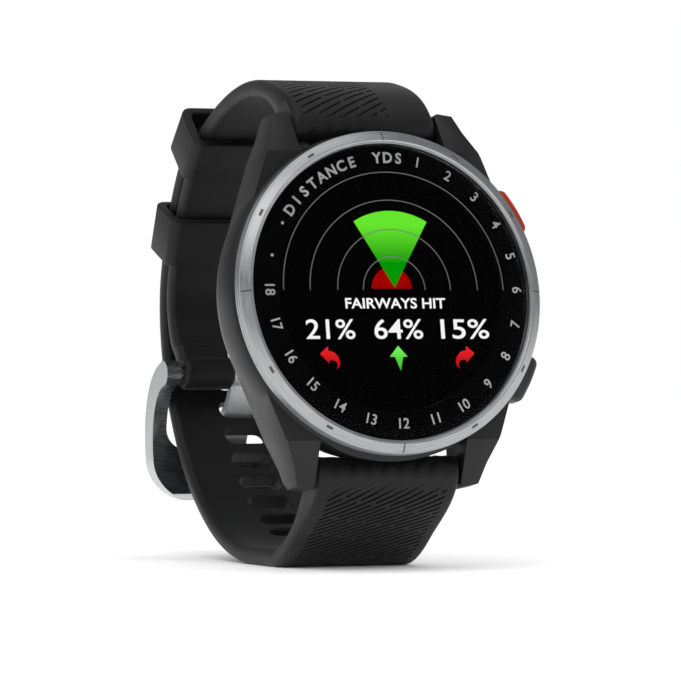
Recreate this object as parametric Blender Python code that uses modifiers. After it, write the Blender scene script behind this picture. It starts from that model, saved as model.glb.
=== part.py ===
"""Golf GPS watch: round case, two buttons, and a two-piece rubber strap done up in its buckle.

The watch stands on the flat underside of its lower strap, which is the origin. +Z is up, the
face looks along -Y and leans back, and +X points to three o'clock. Lengths are in metres.
"""
import math

import bmesh
import bpy
from mathutils import Matrix, Vector, geometry

MM = 0.001
GAP = 0.2 * MM                 # clearance between pieces that rest on each other

# Where the head stands. Its own frame: +Z out of the face, +Y towards twelve o'clock.
FACE_LEAN = math.radians(10.0)
FACE_CENTRE = Vector((0.0, -21.0 * MM, 36.4 * MM))

# Bezel, case and glass, as radii and as heights in the head's frame.
BEZEL_RADIUS = 21.3 * MM
GLASS_RADIUS = 19.45 * MM
GLASS_UNDERSIDE = -1.0 * MM
PRINT_HEIGHT = -1.15 * MM      # of the printed ring and the display, just below the glass
CASE_RADIUS = 21.7 * MM
CASE_BORE = 17.8 * MM
CASE_TOP = -2.4 * MM
CASE_BACK = -9.7 * MM
COVER_BACK = -11.7 * MM
SHELF_RADIUS = 18.5 * MM       # the bezel's inner shelf, which carries the glass
CIRCLE_STEPS = 56

# Lugs and spring bars.
LUG_GAP = 20.8 * MM
LUG_TIP = 24.9 * MM
LUG_WIDTH = 3.0 * MM
BAR_OUT = 23.0 * MM            # from the face's centre line to the bar
BAR_HEIGHT = -7.3 * MM
BAR_RADIUS = 0.8 * MM
TIP_RADIUS = 0.4 * MM
PIN_TRAVEL = 1.2 * MM
LEVER_X = -7.0 * MM            # where the release lever stands along the bar

# Strap.
STRAP_WIDTH = 20.0 * MM
STRAP_THICK = 2.3 * MM
ROLL_RADIUS = 2.45 * MM        # the rolled end round each bar
LAYER_GAP = 0.35 * MM          # between the two strap layers where they lie together
BAND_CENTRE = (-4.9 * MM, 29.1 * MM)   # (y, z) of the arc through the keepers
BAND_RADIUS = 40.1 * MM        # of the face where the two layers meet
FOOT_FRONT = -4.0 * MM
FOOT_BACK = 4.0 * MM

# Slots for the tongue, counted from the one in use.
SLOT_PITCH = 4.3 * MM
SLOT_WIDTH = 6.3 * MM
SLOT_HEIGHT = 2.5 * MM
SLOTS_BELOW = 6
SLOTS_ABOVE = 3
SLOT_IN_USE_HEIGHT = 19.7 * MM

# Buckle.
BUCKLE_AXIS = (29.0 * MM, 25.2 * MM)   # (y, z)
BUCKLE_BAR_RADIUS = 0.75 * MM
BUCKLE_ROLL_RADIUS = 2.25 * MM         # the rolled end round the buckle's bar
BUCKLE_BAR_CLEARANCE = 0.12 * MM
EYE_RADIUS = 1.75 * MM                 # of the arms' and the tongue's eyes round the bar
BUCKLE_HALF_WIDTH = 12.4 * MM
ARM_WIDTH = 2.0 * MM
TONGUE_WIDTH = 4.6 * MM
TONGUE_THICK = 1.2 * MM

# Keepers, as angles on the band arc.
UPPER_KEEPER_ANGLE = math.radians(43.3)
LOWER_KEEPER_ANGLE = math.radians(22.5)
KEEPER_LENGTH = 6.7 * MM
KEEPER_WALL = 1.2 * MM
KEEPER_CLEARANCE = 0.3 * MM

# Buttons.
START_ANGLE = math.radians(30.0)
BACK_ANGLE = math.radians(-29.0)
BUTTON_HEIGHT = -5.2 * MM
BUTTON_LENGTH = 6.6 * MM
BUTTON_DEPTH = 2.7 * MM
BUTTON_FACE = 23.8 * MM
BUTTON_TRAVEL = 0.6 * MM

# Slots, seals and screws inside.
SCREW_CIRCLE = 19.05 * MM
SCREW_ANGLES = [math.radians(a) for a in (45.0, 135.0, 225.0, 315.0)]


def clear_scene():
    for obj in list(bpy.data.objects):
        bpy.data.objects.remove(obj, do_unlink=True)


def new_collection(name):
    collection = bpy.data.collections.new(name)
    bpy.context.scene.collection.children.link(collection)
    return collection


def finish(name, red, green, blue, roughness, metallic=0.0):
    material = bpy.data.materials.new(name)
    material.use_nodes = True
    shader = material.node_tree.nodes["Principled BSDF"]
    shader.inputs["Base Color"].default_value = (red, green, blue, 1.0)
    shader.inputs["Roughness"].default_value = roughness
    shader.inputs["Metallic"].default_value = metallic
    material.diffuse_color = (red, green, blue, 1.0)
    return material


clear_scene()
WATCH = new_collection("golf_gps_watch")
CUTTERS = new_collection("cutters")

RUBBER = finish("strap_rubber", 0.020, 0.020, 0.022, 0.55)
CASE = finish("case_polymer", 0.035, 0.035, 0.037, 0.50)
BEZEL = finish("brushed_steel", 0.55, 0.55, 0.56, 0.30, 1.0)
STEEL = finish("polished_steel", 0.62, 0.62, 0.63, 0.22, 1.0)
GLASS = finish("cover_glass", 0.01, 0.01, 0.01, 0.05)
PRINT = finish("printed_ring", 0.012, 0.012, 0.013, 0.35)
DISPLAY = finish("display_glass", 0.01, 0.01, 0.01, 0.10)
RED = finish("red_anodised", 0.75, 0.06, 0.02, 0.35, 0.6)
BUTTON_BLACK = finish("button_black", 0.03, 0.03, 0.03, 0.40)
BOARD = finish("circuit_board", 0.02, 0.12, 0.06, 0.50)
CAN = finish("tinned_can", 0.60, 0.60, 0.58, 0.35, 1.0)
CELL = finish("battery_wrap", 0.35, 0.36, 0.38, 0.45)
MOTOR = finish("motor_can", 0.58, 0.58, 0.58, 0.35, 1.0)
COPPER = finish("antenna_copper", 0.70, 0.38, 0.22, 0.35, 1.0)
FRAME = finish("inner_frame", 0.08, 0.08, 0.09, 0.55)
FLEX = finish("flex_polyimide", 0.65, 0.35, 0.06, 0.45)
SEAL = finish("seal_silicone", 0.10, 0.10, 0.11, 0.65)
GOLD = finish("gold_contact", 0.83, 0.62, 0.25, 0.28, 1.0)
COVER = finish("rear_polymer", 0.030, 0.030, 0.032, 0.45)


def make_head():
    head = bpy.data.objects.new("head_frame", None)
    WATCH.objects.link(head)
    head.location = FACE_CENTRE
    head.rotation_euler = (math.radians(90.0) - FACE_LEAN, 0.0, 0.0)
    return head


HEAD = make_head()
HEAD_MATRIX = Matrix.Translation(FACE_CENTRE) @ Matrix.Rotation(math.radians(90.0) - FACE_LEAN, 4, "X")


def add_object(name, mesh, material, parent=None):
    obj = bpy.data.objects.new(name, mesh)
    mesh.materials.clear()
    mesh.materials.append(material)
    WATCH.objects.link(obj)
    obj.parent = parent
    return obj


def smooth(obj, angle=35.0):
    obj.data.shade_smooth()
    obj.data.set_sharp_from_angle(angle=math.radians(angle))


def evaluated_mesh(obj):
    bpy.context.view_layer.update()
    graph = bpy.context.evaluated_depsgraph_get()
    return bpy.data.meshes.new_from_object(obj.evaluated_get(graph), depsgraph=graph)


def clean_mesh(mesh):
    """Weld loose caps and turn the faces outward."""
    work = bmesh.new()
    work.from_mesh(mesh)
    bmesh.ops.remove_doubles(work, verts=work.verts, dist=1e-6)
    bmesh.ops.recalc_face_normals(work, faces=work.faces)
    work.to_mesh(mesh)
    work.free()
    return mesh


def turned_mesh(name, profile, steps=CIRCLE_STEPS):
    """A profile of (radius, height) pairs, outer side top to bottom, turned about Z.

    A profile that starts and ends on the axis makes a solid; any other is closed into a ring."""
    on_axis = profile[0][0] == 0.0 and profile[-1][0] == 0.0
    points = list(profile) if on_axis else list(profile) + [profile[0]]
    mesh = bpy.data.meshes.new(name)
    edges = [(i, i + 1) for i in range(len(points) - 1)]
    mesh.from_pydata([(r, 0.0, z) for r, z in points], edges, [])
    spun = bpy.data.objects.new(name + "_profile", mesh)
    bpy.context.scene.collection.objects.link(spun)
    screw = spun.modifiers.new("Turn", "SCREW")
    screw.axis = "Z"
    screw.angle = math.tau
    screw.steps = steps
    screw.render_steps = steps
    screw.use_merge_vertices = True
    screw.merge_threshold = 1e-6
    result = evaluated_mesh(spun)
    bpy.data.objects.remove(spun)
    bpy.data.meshes.remove(mesh)
    result.name = name
    return clean_mesh(result)


def box_mesh(name, size, centre=(0.0, 0.0, 0.0), bevel=0.0, segments=1):
    work = bmesh.new()
    bmesh.ops.create_cube(work, size=1.0)
    bmesh.ops.scale(work, vec=size, verts=work.verts)
    if bevel:
        bmesh.ops.bevel(work, geom=list(work.edges), offset=bevel, segments=segments,
                        profile=0.5, affect="EDGES")
    bmesh.ops.translate(work, vec=centre, verts=work.verts)
    mesh = bpy.data.meshes.new(name)
    work.to_mesh(mesh)
    work.free()
    return mesh


def rod_mesh(name, radius, start, end, sides=24):
    """A round rod from one point to another."""
    start = Vector(start)
    end = Vector(end)
    along = end - start
    work = bmesh.new()
    bmesh.ops.create_cone(work, cap_ends=True, segments=sides, radius1=radius, radius2=radius,
                          depth=along.length)
    turn = along.to_track_quat("Z", "Y").to_matrix().to_4x4()
    work.transform(Matrix.Translation((start + end) / 2) @ turn)
    mesh = bpy.data.meshes.new(name)
    work.to_mesh(mesh)
    work.free()
    return mesh


def plate_mesh(name, outline, low, high):
    """A flat outline of (x, y) points, filled and raised from low to high along Z."""
    curve = bpy.data.curves.new(name, "CURVE")
    curve.dimensions = "2D"
    curve.fill_mode = "BOTH"
    curve.extrude = (high - low) / 2
    line = curve.splines.new("POLY")
    line.points.add(len(outline) - 1)
    for point, (x, y) in zip(line.points, outline):
        point.co = (x, y, 0.0, 1.0)
    line.use_cyclic_u = True
    obj = bpy.data.objects.new(name, curve)
    bpy.context.scene.collection.objects.link(obj)
    mesh = evaluated_mesh(obj)
    bpy.data.objects.remove(obj)
    bpy.data.curves.remove(curve)
    mesh.transform(Matrix.Translation((0.0, 0.0, (low + high) / 2)))
    return clean_mesh(mesh)


def side_plate_mesh(name, outline, half_width):
    """A side view's (y, z) outline, filled and widened along X."""
    mesh = plate_mesh(name, outline, -half_width, half_width)
    mesh.transform(Matrix(((0, 0, 1, 0), (1, 0, 0, 0), (0, 1, 0, 0), (0, 0, 0, 1))))
    return clean_mesh(mesh)


def arc_points(centre, radius, start, end, count):
    return [(centre[0] + radius * math.cos(start + (end - start) * i / (count - 1)),
             centre[1] + radius * math.sin(start + (end - start) * i / (count - 1)))
            for i in range(count)]


def obround(half_length, radius, count=7):
    right = arc_points((half_length - radius, 0.0), radius, -math.pi / 2, math.pi / 2, count)
    left = arc_points((radius - half_length, 0.0), radius, math.pi / 2, 3 * math.pi / 2, count)
    return right + left


def rounded_rectangle(half_x, half_y, radius, count=4):
    points = []
    for quarter, (sx, sy) in enumerate(((1, 1), (-1, 1), (-1, -1), (1, -1))):
        centre = (sx * (half_x - radius), sy * (half_y - radius))
        start = quarter * math.pi / 2
        points += arc_points(centre, radius, start, start + math.pi / 2, count)
    return points


def boolean(obj, mesh, operation="DIFFERENCE", matrix=None):
    """Cut or join a mesh, given in the object's own frame, and keep the result as its mesh."""
    cutter = bpy.data.objects.new(obj.name + "_cutter", mesh)
    CUTTERS.objects.link(cutter)
    cutter.hide_render = True
    cutter.display_type = "WIRE"
    bpy.context.view_layer.update()
    cutter.matrix_world = obj.matrix_world @ (matrix or Matrix())
    modifier = obj.modifiers.new("Cut", "BOOLEAN")
    modifier.operation = operation
    modifier.solver = "EXACT"
    modifier.object = cutter
    result = evaluated_mesh(obj)
    obj.modifiers.clear()
    obj.data = result
    bpy.data.objects.remove(cutter)


def spring_mesh(name, radius, wire, low, high, turns):
    """A coil about Z between two heights."""
    per_turn = 10
    count = int(turns * per_turn)
    curve = bpy.data.curves.new(name, "CURVE")
    curve.dimensions = "3D"
    curve.bevel_depth = wire
    curve.bevel_resolution = 0
    curve.use_fill_caps = True
    line = curve.splines.new("POLY")
    line.points.add(count)
    for i, point in enumerate(line.points):
        angle = math.tau * i / per_turn
        height = low + wire + (high - low - 2 * wire) * i / count
        point.co = (radius * math.cos(angle), radius * math.sin(angle), height, 1.0)
    obj = bpy.data.objects.new(name, curve)
    bpy.context.scene.collection.objects.link(obj)
    mesh = evaluated_mesh(obj)
    bpy.data.objects.remove(obj)
    bpy.data.curves.remove(curve)
    return clean_mesh(mesh)


def ring_mesh(name, inner, outer, low, high, steps=CIRCLE_STEPS):
    return turned_mesh(name, [(outer, high), (outer, low), (inner, low), (inner, high)], steps)


# ---------------------------------------------------------------- case, bezel and glass


def lug_outline():
    """Plan of the lug at one o'clock: straight inner side, cut tip, outer side run into the case."""
    inner = LUG_GAP / 2
    outer = inner + LUG_WIDTH
    root = math.radians(40.0)
    return [(inner, 15.5 * MM),
            (CASE_RADIUS * math.cos(root), CASE_RADIUS * math.sin(root)),
            (15.6 * MM, 17.6 * MM),
            (outer + 0.3 * MM, 22.6 * MM),
            (outer - 0.5 * MM, LUG_TIP - 0.35 * MM),
            (inner + 0.5 * MM, LUG_TIP),
            (inner, LUG_TIP - 0.4 * MM)]


def build_case():
    profile = [(20.9 * MM, CASE_TOP), (21.45 * MM, -2.9 * MM), (CASE_RADIUS, -3.6 * MM),
               (CASE_RADIUS, -6.9 * MM), (20.9 * MM, CASE_BACK + 0.3 * MM), (20.5 * MM, CASE_BACK),
               (CASE_BORE, CASE_BACK), (CASE_BORE, CASE_TOP)]
    case = add_object("case_body", turned_mesh("case_body", profile), CASE, HEAD)
    for sx in (1, -1):
        for sy in (1, -1):
            outline = [(sx * x, sy * y) for x, y in lug_outline()]
            if sx * sy < 0:
                outline.reverse()
            lug = plate_mesh("lug", outline, CASE_BACK, -2.9 * MM)
            boolean(case, lug, "UNION")
    # The lugs' front faces fall away from the bezel towards their tips.
    slope = math.atan2(3.2, 6.0)
    for sy in (1, -1):
        block = box_mesh("slope", (40 * MM, 20 * MM, 10 * MM), (0.0, 10 * MM, 5 * MM))
        place = (Matrix.Translation((0.0, sy * 18.8 * MM, -2.75 * MM))
                 @ Matrix.Rotation(-sy * slope, 4, "X") @ Matrix.Scale(sy, 4, (0, 1, 0)))
        block.transform(place)
        boolean(case, clean_mesh(block))
    # The lugs' back corners are cut as well.
    for sy in (1, -1):
        block = box_mesh("back_slope", (40 * MM, 12 * MM, 6 * MM), (0.0, 6 * MM, -3 * MM))
        place = (Matrix.Translation((0.0, sy * 23.6 * MM, CASE_BACK - 0.1 * MM))
                 @ Matrix.Rotation(sy * math.radians(40), 4, "X") @ Matrix.Scale(sy, 4, (0, 1, 0)))
        block.transform(place)
        boolean(case, clean_mesh(block))
    # Room for the rolled strap ends, and blind holes for the bars' tips.
    for sy in (1, -1):
        centre = (sy * BAR_OUT, BAR_HEIGHT)
        clearance = rod_mesh("scallop", ROLL_RADIUS + 0.45 * MM,
                             (-LUG_GAP / 2, *centre), (LUG_GAP / 2, *centre), 32)
        boolean(case, clearance)
        hole = rod_mesh("bar_hole", TIP_RADIUS + 0.1 * MM, (-LUG_GAP / 2 - 1.2 * MM, *centre),
                        (LUG_GAP / 2 + 1.2 * MM, *centre), 12)
        boolean(case, hole)
    for angle in (START_ANGLE, BACK_ANGLE):
        turn = Matrix.Rotation(angle, 4, "Z") @ Matrix.Translation((0.0, 0.0, BUTTON_HEIGHT))
        pocket = box_mesh("pocket", (6 * MM, BUTTON_LENGTH + 0.5 * MM, BUTTON_DEPTH + 0.5 * MM),
                          (19.6 * MM + 3 * MM, 0.0, 0.0))
        seal_seat = rod_mesh("seal_seat", 1.6 * MM, (18.5 * MM, 0, 0), (20.5 * MM, 0, 0), 20)
        bore = rod_mesh("stem_bore", 1.0 * MM, (16.5 * MM, 0, 0), (19.0 * MM, 0, 0), 20)
        for mesh in (pocket, seal_seat, bore):
            boolean(case, mesh, matrix=turn)
    for angle in SCREW_ANGLES:
        x = SCREW_CIRCLE * math.cos(angle)
        y = SCREW_CIRCLE * math.sin(angle)
        hole = rod_mesh("screw_hole", 0.6 * MM, (x, y, CASE_BACK - MM),
                        (x, y, CASE_BACK + 2.4 * MM), 12)
        boolean(case, hole)
    smooth(case)


def build_bezel():
    profile = [(20.0 * MM, 0.30 * MM), (21.05 * MM, -0.30 * MM), (BEZEL_RADIUS, -0.45 * MM),
               (BEZEL_RADIUS, CASE_TOP + GAP), (SHELF_RADIUS, CASE_TOP + GAP),
               (SHELF_RADIUS, -1.75 * MM), (GLASS_RADIUS + 0.15 * MM, -1.75 * MM),
               (GLASS_RADIUS + 0.15 * MM, 0.05 * MM)]
    smooth(add_object("bezel_ring", turned_mesh("bezel_ring", profile), BEZEL, HEAD))


def build_glass_and_display():
    glass = [(0.0, 0.0), (16.8 * MM, 0.0), (18.2 * MM, -0.12 * MM), (GLASS_RADIUS, -0.45 * MM),
             (GLASS_RADIUS, GLASS_UNDERSIDE), (0.0, GLASS_UNDERSIDE)]
    smooth(add_object("lens", turned_mesh("lens", glass), GLASS, HEAD))
    gasket = ring_mesh("lens_gasket", 18.6 * MM, 19.4 * MM, -1.65 * MM, GLASS_UNDERSIDE - 0.1 * MM, 48)
    add_object("lens_gasket", gasket, SEAL, HEAD)
    ring = ring_mesh("dial_ring", 15.8 * MM, 18.3 * MM, PRINT_HEIGHT - 0.45 * MM, PRINT_HEIGHT)
    smooth(add_object("dial_ring", ring, PRINT, HEAD))
    panel = [(0.0, PRINT_HEIGHT), (15.6 * MM, PRINT_HEIGHT), (15.6 * MM, -2.7 * MM), (0.0, -2.7 * MM)]
    smooth(add_object("display_panel", turned_mesh("display_panel", panel), DISPLAY, HEAD))
    frame = add_object("display_frame", ring_mesh("display_frame", 13.4 * MM, 16.4 * MM,
                                                  -4.0 * MM, -2.9 * MM, 48), FRAME, HEAD)
    bar = box_mesh("frame_bar", (28.0 * MM, 3.0 * MM, 0.8 * MM), (0.0, 4.0 * MM, -3.5 * MM))
    boolean(frame, bar, "UNION")
    gap = box_mesh("flex_gap", (8.6 * MM, 6.0 * MM, 3.0 * MM), (0.0, -15.6 * MM, -3.5 * MM))
    boolean(frame, gap)
    smooth(frame)
    # The ribbon leaves the display's underside, turns down and plugs in on the board.
    flex = [(2.0 * MM, -2.9 * MM), (-15.5 * MM, -2.9 * MM), (-15.9 * MM, -3.1 * MM),
            (-15.9 * MM, -4.3 * MM), (-15.5 * MM, -4.5 * MM), (-11.0 * MM, -4.5 * MM),
            (-11.0 * MM, -4.3 * MM), (-15.4 * MM, -4.3 * MM), (-15.6 * MM, -4.1 * MM),
            (-15.6 * MM, -3.3 * MM), (-15.4 * MM, -3.1 * MM), (2.0 * MM, -3.1 * MM)]
    ribbon = side_plate_mesh("display_flex", flex, 4.0 * MM)
    add_object("display_flex", ribbon, FLEX, HEAD)


def build_electronics():
    board = add_object("main_board", turned_mesh("main_board", [
        (0.0, -4.7 * MM), (16.9 * MM, -4.7 * MM), (16.9 * MM, -5.4 * MM), (0.0, -5.4 * MM)], 48),
        BOARD, HEAD)
    for angle in (START_ANGLE, BACK_ANGLE):
        turn = Matrix.Rotation(angle, 4, "Z")
        notch = box_mesh("switch_notch", (6.0 * MM, 6.4 * MM, 4.0 * MM), (16.4 * MM, 0.0, -5.2 * MM))
        boolean(board, notch, matrix=turn)
    clearance = box_mesh("aerial_notch", (17.0 * MM, 9.0 * MM, 4.0 * MM),
                         (-6.0 * MM, 17.2 * MM, -5.0 * MM))
    boolean(board, clearance)
    add_object("shield_can", box_mesh("shield_can", (11.0 * MM, 10.0 * MM, 1.2 * MM),
                                      (2.0 * MM, -9.6 * MM, -6.2 * MM), 0.25 * MM), CAN, HEAD)
    add_object("battery", box_mesh("battery", (24.0 * MM, 14.4 * MM, 3.0 * MM),
                                   (-1.5 * MM, 3.2 * MM, -7.15 * MM), 0.6 * MM, 2), CELL, HEAD)
    motor = rod_mesh("vibration_motor", 3.9 * MM, (-8.6 * MM, -9.4 * MM, -8.4 * MM),
                     (-8.6 * MM, -9.4 * MM, -5.7 * MM), 32)
    smooth(add_object("vibration_motor", motor, MOTOR, HEAD))
    # Aerial: a strip bent round the inside of the case at twelve o'clock.
    sweep = math.radians(45)
    outline = (arc_points((0, 0), 17.5 * MM, math.pi / 2 - sweep, math.pi / 2 + sweep, 17)
               + arc_points((0, 0), 17.05 * MM, math.pi / 2 + sweep, math.pi / 2 - sweep, 17))
    aerial = plate_mesh("gps_antenna", outline, -8.6 * MM, -4.4 * MM)
    smooth(add_object("gps_antenna", aerial, COPPER, HEAD))
    for name, angle in (("start_switch", START_ANGLE), ("back_switch", BACK_ANGLE)):
        switch = add_object(name, box_mesh(name, (2.2 * MM, 4.6 * MM, 2.0 * MM)), FRAME, HEAD)
        plunger = rod_mesh("plunger", 0.6 * MM, (0.5 * MM, 0, 0), (1.7 * MM, 0, 0), 16)
        boolean(switch, plunger, "UNION")
        switch.location = (14.6 * MM * math.cos(angle), 14.6 * MM * math.sin(angle), BUTTON_HEIGHT)
        switch.rotation_euler = (0.0, 0.0, angle)


def build_rear():
    plug = CASE_BORE - 0.25 * MM
    profile = [(0.0, -9.0 * MM), (plug, -9.0 * MM), (plug, -9.15 * MM), (plug - 0.7 * MM, -9.15 * MM),
               (plug - 0.7 * MM, -9.65 * MM), (plug, -9.65 * MM), (plug, CASE_BACK - GAP),
               (20.4 * MM, CASE_BACK - GAP), (20.4 * MM, -10.4 * MM), (18.6 * MM, COVER_BACK),
               (0.0, COVER_BACK)]
    cover = add_object("rear_cover", turned_mesh("rear_cover", profile), COVER, HEAD)
    for angle in SCREW_ANGLES:
        x = SCREW_CIRCLE * math.cos(angle)
        y = SCREW_CIRCLE * math.sin(angle)
        boolean(cover, rod_mesh("hole", 0.7 * MM, (x, y, COVER_BACK - MM), (x, y, -9.0 * MM), 12))
        boolean(cover, rod_mesh("sink", 1.25 * MM, (x, y, COVER_BACK - MM), (x, y, -10.5 * MM), 20))
    port_place = Matrix.Translation((0.0, -8.0 * MM, 0.0))
    hole = plate_mesh("port_hole", rounded_rectangle(4.1 * MM, 2.1 * MM, 0.8 * MM),
                      COVER_BACK - MM, -9.9 * MM)
    boolean(cover, hole, matrix=port_place)
    smooth(cover)
    groove = plug - 0.7 * MM
    gasket = ring_mesh("rear_gasket", groove + 0.08 * MM, plug - 0.05 * MM, -9.58 * MM, -9.22 * MM, 48)
    add_object("rear_gasket", gasket, SEAL, HEAD)
    for number, angle in enumerate(SCREW_ANGLES, 1):
        name = "rear_screw_%d" % number
        profile = [(0.0, -7.8 * MM), (0.45 * MM, -7.8 * MM), (0.45 * MM, -10.7 * MM),
                   (1.1 * MM, -10.7 * MM), (1.1 * MM, -11.1 * MM), (0.0, -11.1 * MM)]
        screw = add_object(name, turned_mesh(name, profile, 16), STEEL, HEAD)
        recess = box_mesh("slot", (1.6 * MM, 0.3 * MM, 0.5 * MM), (0.0, 0.0, -11.15 * MM))
        boolean(screw, recess)
        screw.location = (SCREW_CIRCLE * math.cos(angle), SCREW_CIRCLE * math.sin(angle), 0.0)
    block = plate_mesh("charge_port", rounded_rectangle(3.85 * MM, 1.85 * MM, 0.6 * MM),
                       -11.2 * MM, -10.1 * MM)
    port = add_object("charge_port", block, FRAME, HEAD)
    port.location = (0.0, -8.0 * MM, 0.0)
    for number in range(4):
        name = "charge_contact_%d" % (number + 1)
        x = (number - 1.5) * 1.7 * MM
        hole = rod_mesh("contact_hole", 0.5 * MM, (x, 0, -12 * MM), (x, 0, -9.5 * MM), 12)
        boolean(port, hole)
        contact = rod_mesh(name, 0.4 * MM, (x, 0, -11.4 * MM), (x, 0, -10.2 * MM), 12)
        pin = add_object(name, contact, GOLD, HEAD)
        pin.location = (0.0, -8.0 * MM, 0.0)


def build_button(prefix, angle, material):
    """Cap and stem in one, with its seal, its clip and its return spring. Local +X is outward."""
    def place(obj):
        obj.location = (0.0, 0.0, BUTTON_HEIGHT)
        obj.rotation_euler = (0.0, 0.0, angle)

    half = math.asin(BUTTON_LENGTH / 2 / BUTTON_FACE)
    face = arc_points((0, 0), BUTTON_FACE, -half, half, 9)
    root = 21.0 * MM
    outline = [(root, -BUTTON_LENGTH / 2)] + face + [(root, BUTTON_LENGTH / 2)]
    cap = add_object(prefix + "_button", plate_mesh(prefix + "_cap", outline, -BUTTON_DEPTH / 2,
                                                    BUTTON_DEPTH / 2), material, HEAD)
    stem = rod_mesh("stem", 0.8 * MM, (16.9 * MM, 0, 0), (root + 0.5 * MM, 0, 0), 20)
    boolean(cap, stem, "UNION")
    groove = ring_mesh("groove", 0.5 * MM, 1.2 * MM, 17.1 * MM, 17.5 * MM, 20)
    groove.transform(Matrix.Rotation(math.pi / 2, 4, "Y"))
    boolean(cap, groove)
    place(cap)
    smooth(cap)
    along = Matrix.Rotation(math.pi / 2, 4, "Y")
    seal = ring_mesh(prefix + "_seal", 0.95 * MM, 1.45 * MM, 18.65 * MM, 19.35 * MM, 20)
    seal.transform(along)
    place(add_object(prefix + "_seal", seal, SEAL, HEAD))
    clip = ring_mesh(prefix + "_clip", 0.6 * MM, 1.6 * MM, 17.18 * MM, 17.42 * MM, 20)
    clip.transform(along)
    place(add_object(prefix + "_clip", clip, STEEL, HEAD))
    spring = spring_mesh(prefix + "_spring", 1.25 * MM, 0.14 * MM, 19.7 * MM, 20.9 * MM, 3)
    spring.transform(along)
    place(add_object(prefix + "_spring", spring, STEEL, HEAD))


# ---------------------------------------------------------------- strap


def head_point(x, y, z):
    return HEAD_MATRIX @ Vector((x, y, z))


def bar_centre(side):
    """(y, z) of the spring bar at twelve (side 1) or six o'clock (side -1)."""
    point = head_point(0.0, side * BAR_OUT, BAR_HEIGHT)
    return (point.y, point.z)


def band_point(radius, angle):
    return (BAND_CENTRE[0] + radius * math.cos(angle), BAND_CENTRE[1] + radius * math.sin(angle))


def blend_curve(start, start_angle, start_pull, end, end_angle, end_pull, count):
    """Smooth run between two points, leaving and arriving at the given headings."""
    first = Vector((start[0], start[1], 0.0))
    last = Vector((end[0], end[1], 0.0))
    out = Vector((math.cos(start_angle), math.sin(start_angle), 0.0)) * start_pull
    into = Vector((math.cos(end_angle), math.sin(end_angle), 0.0)) * end_pull
    points = geometry.interpolate_bezier(first, first + out, last - into, last, count)
    return [(p.x, p.y) for p in points]


def upper_line():
    """Middle of the upper strap, from its spring bar over the top and down to the buckle."""
    radius = BAND_RADIUS - (STRAP_THICK + LAYER_GAP) / 2
    top = math.radians(47.0)
    low = math.radians(13.0)
    over = blend_curve(bar_centre(1), math.radians(50.0), 16.0 * MM,
                       band_point(radius, top), top - math.pi / 2, 2.0 * MM, 22)
    back = arc_points(BAND_CENTRE, radius, top, low, 10)
    bend = blend_curve(back[-1], low - math.pi / 2, 4.5 * MM, BUCKLE_AXIS, math.radians(-128.0),
                       4.0 * MM, 9)
    return over[:-1] + back[:-1] + bend


def lower_line():
    """Middle of the lower strap, from its spring bar round the foot and up to the tip."""
    radius = BAND_RADIUS + (STRAP_THICK + LAYER_GAP) / 2
    low = math.radians(14.0)
    tip = math.radians(47.4)
    height = STRAP_THICK / 2
    front = blend_curve(bar_centre(-1), math.radians(-72.0), 3.2 * MM, (FOOT_FRONT, height), 0.0,
                        4.0 * MM, 14)
    rise = blend_curve((FOOT_BACK, height), 0.0, 22.0 * MM, band_point(radius, low),
                       low + math.pi / 2, 14.0 * MM, 26)
    tail = arc_points(BAND_CENTRE, radius, low, tip, 12)
    return front + rise[:-1] + tail


def line_lengths(line):
    total = [0.0]
    for a, b in zip(line, line[1:]):
        total.append(total[-1] + math.dist(a, b))
    return total


def line_normals(line):
    """Unit normals on the right-hand side of the direction of travel."""
    normals = []
    for i in range(len(line)):
        a = Vector(line[max(i - 1, 0)])
        b = Vector(line[min(i + 1, len(line) - 1)])
        along = (b - a).normalized()
        normals.append(Vector((along.y, -along.x)))
    return normals


def swept_outline(line, thickness_at):
    """Closed outline of a band of changing thickness along a line."""
    lengths = line_lengths(line)
    right = []
    left = []
    for point, normal, along in zip(line, line_normals(line), lengths):
        half = thickness_at(along) / 2
        right.append(tuple(Vector(point) + normal * half))
        left.append(tuple(Vector(point) - normal * half))
    return right + left[::-1]


def near_roll(along):
    """Thickness near a spring bar: the roll's own, falling to the strap's."""
    reach = 11.0 * MM
    share = max(0.0, 1.0 - along / reach)
    return STRAP_THICK + (4.1 * MM - STRAP_THICK) * share * share * (3 - 2 * share)


def drop_start(line, distance):
    """Leave out the points nearer than a distance to the first one."""
    return [p for p in line if math.dist(p, line[0]) >= distance]


def strap_with_roll(name, line, thickness_at):
    shortened = drop_start(line, 1.2 * MM)
    offset = line_lengths(line)[len(line) - len(shortened)]
    outline = swept_outline(shortened, lambda along: thickness_at(along + offset))
    strap = add_object(name, side_plate_mesh(name, outline, STRAP_WIDTH / 2), RUBBER)
    roll = rod_mesh("roll", ROLL_RADIUS, (-STRAP_WIDTH / 2, *line[0]),
                    (STRAP_WIDTH / 2, *line[0]), 36)
    boolean(strap, roll, "UNION")
    return strap


def cut_bar_bore(strap, centre):
    bore = rod_mesh("bar_bore", BAR_RADIUS + 0.15 * MM, (-STRAP_WIDTH, *centre),
                    (STRAP_WIDTH, *centre), 20)
    boolean(strap, bore)


def lever_place(side):
    """The release lever stands on the bar's wrist side, pointing away from the face."""
    centre = bar_centre(side)
    back = HEAD_MATRIX.to_3x3() @ Vector((0.0, 0.0, -1.0))
    return Vector((0.0, *centre)), back


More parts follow.
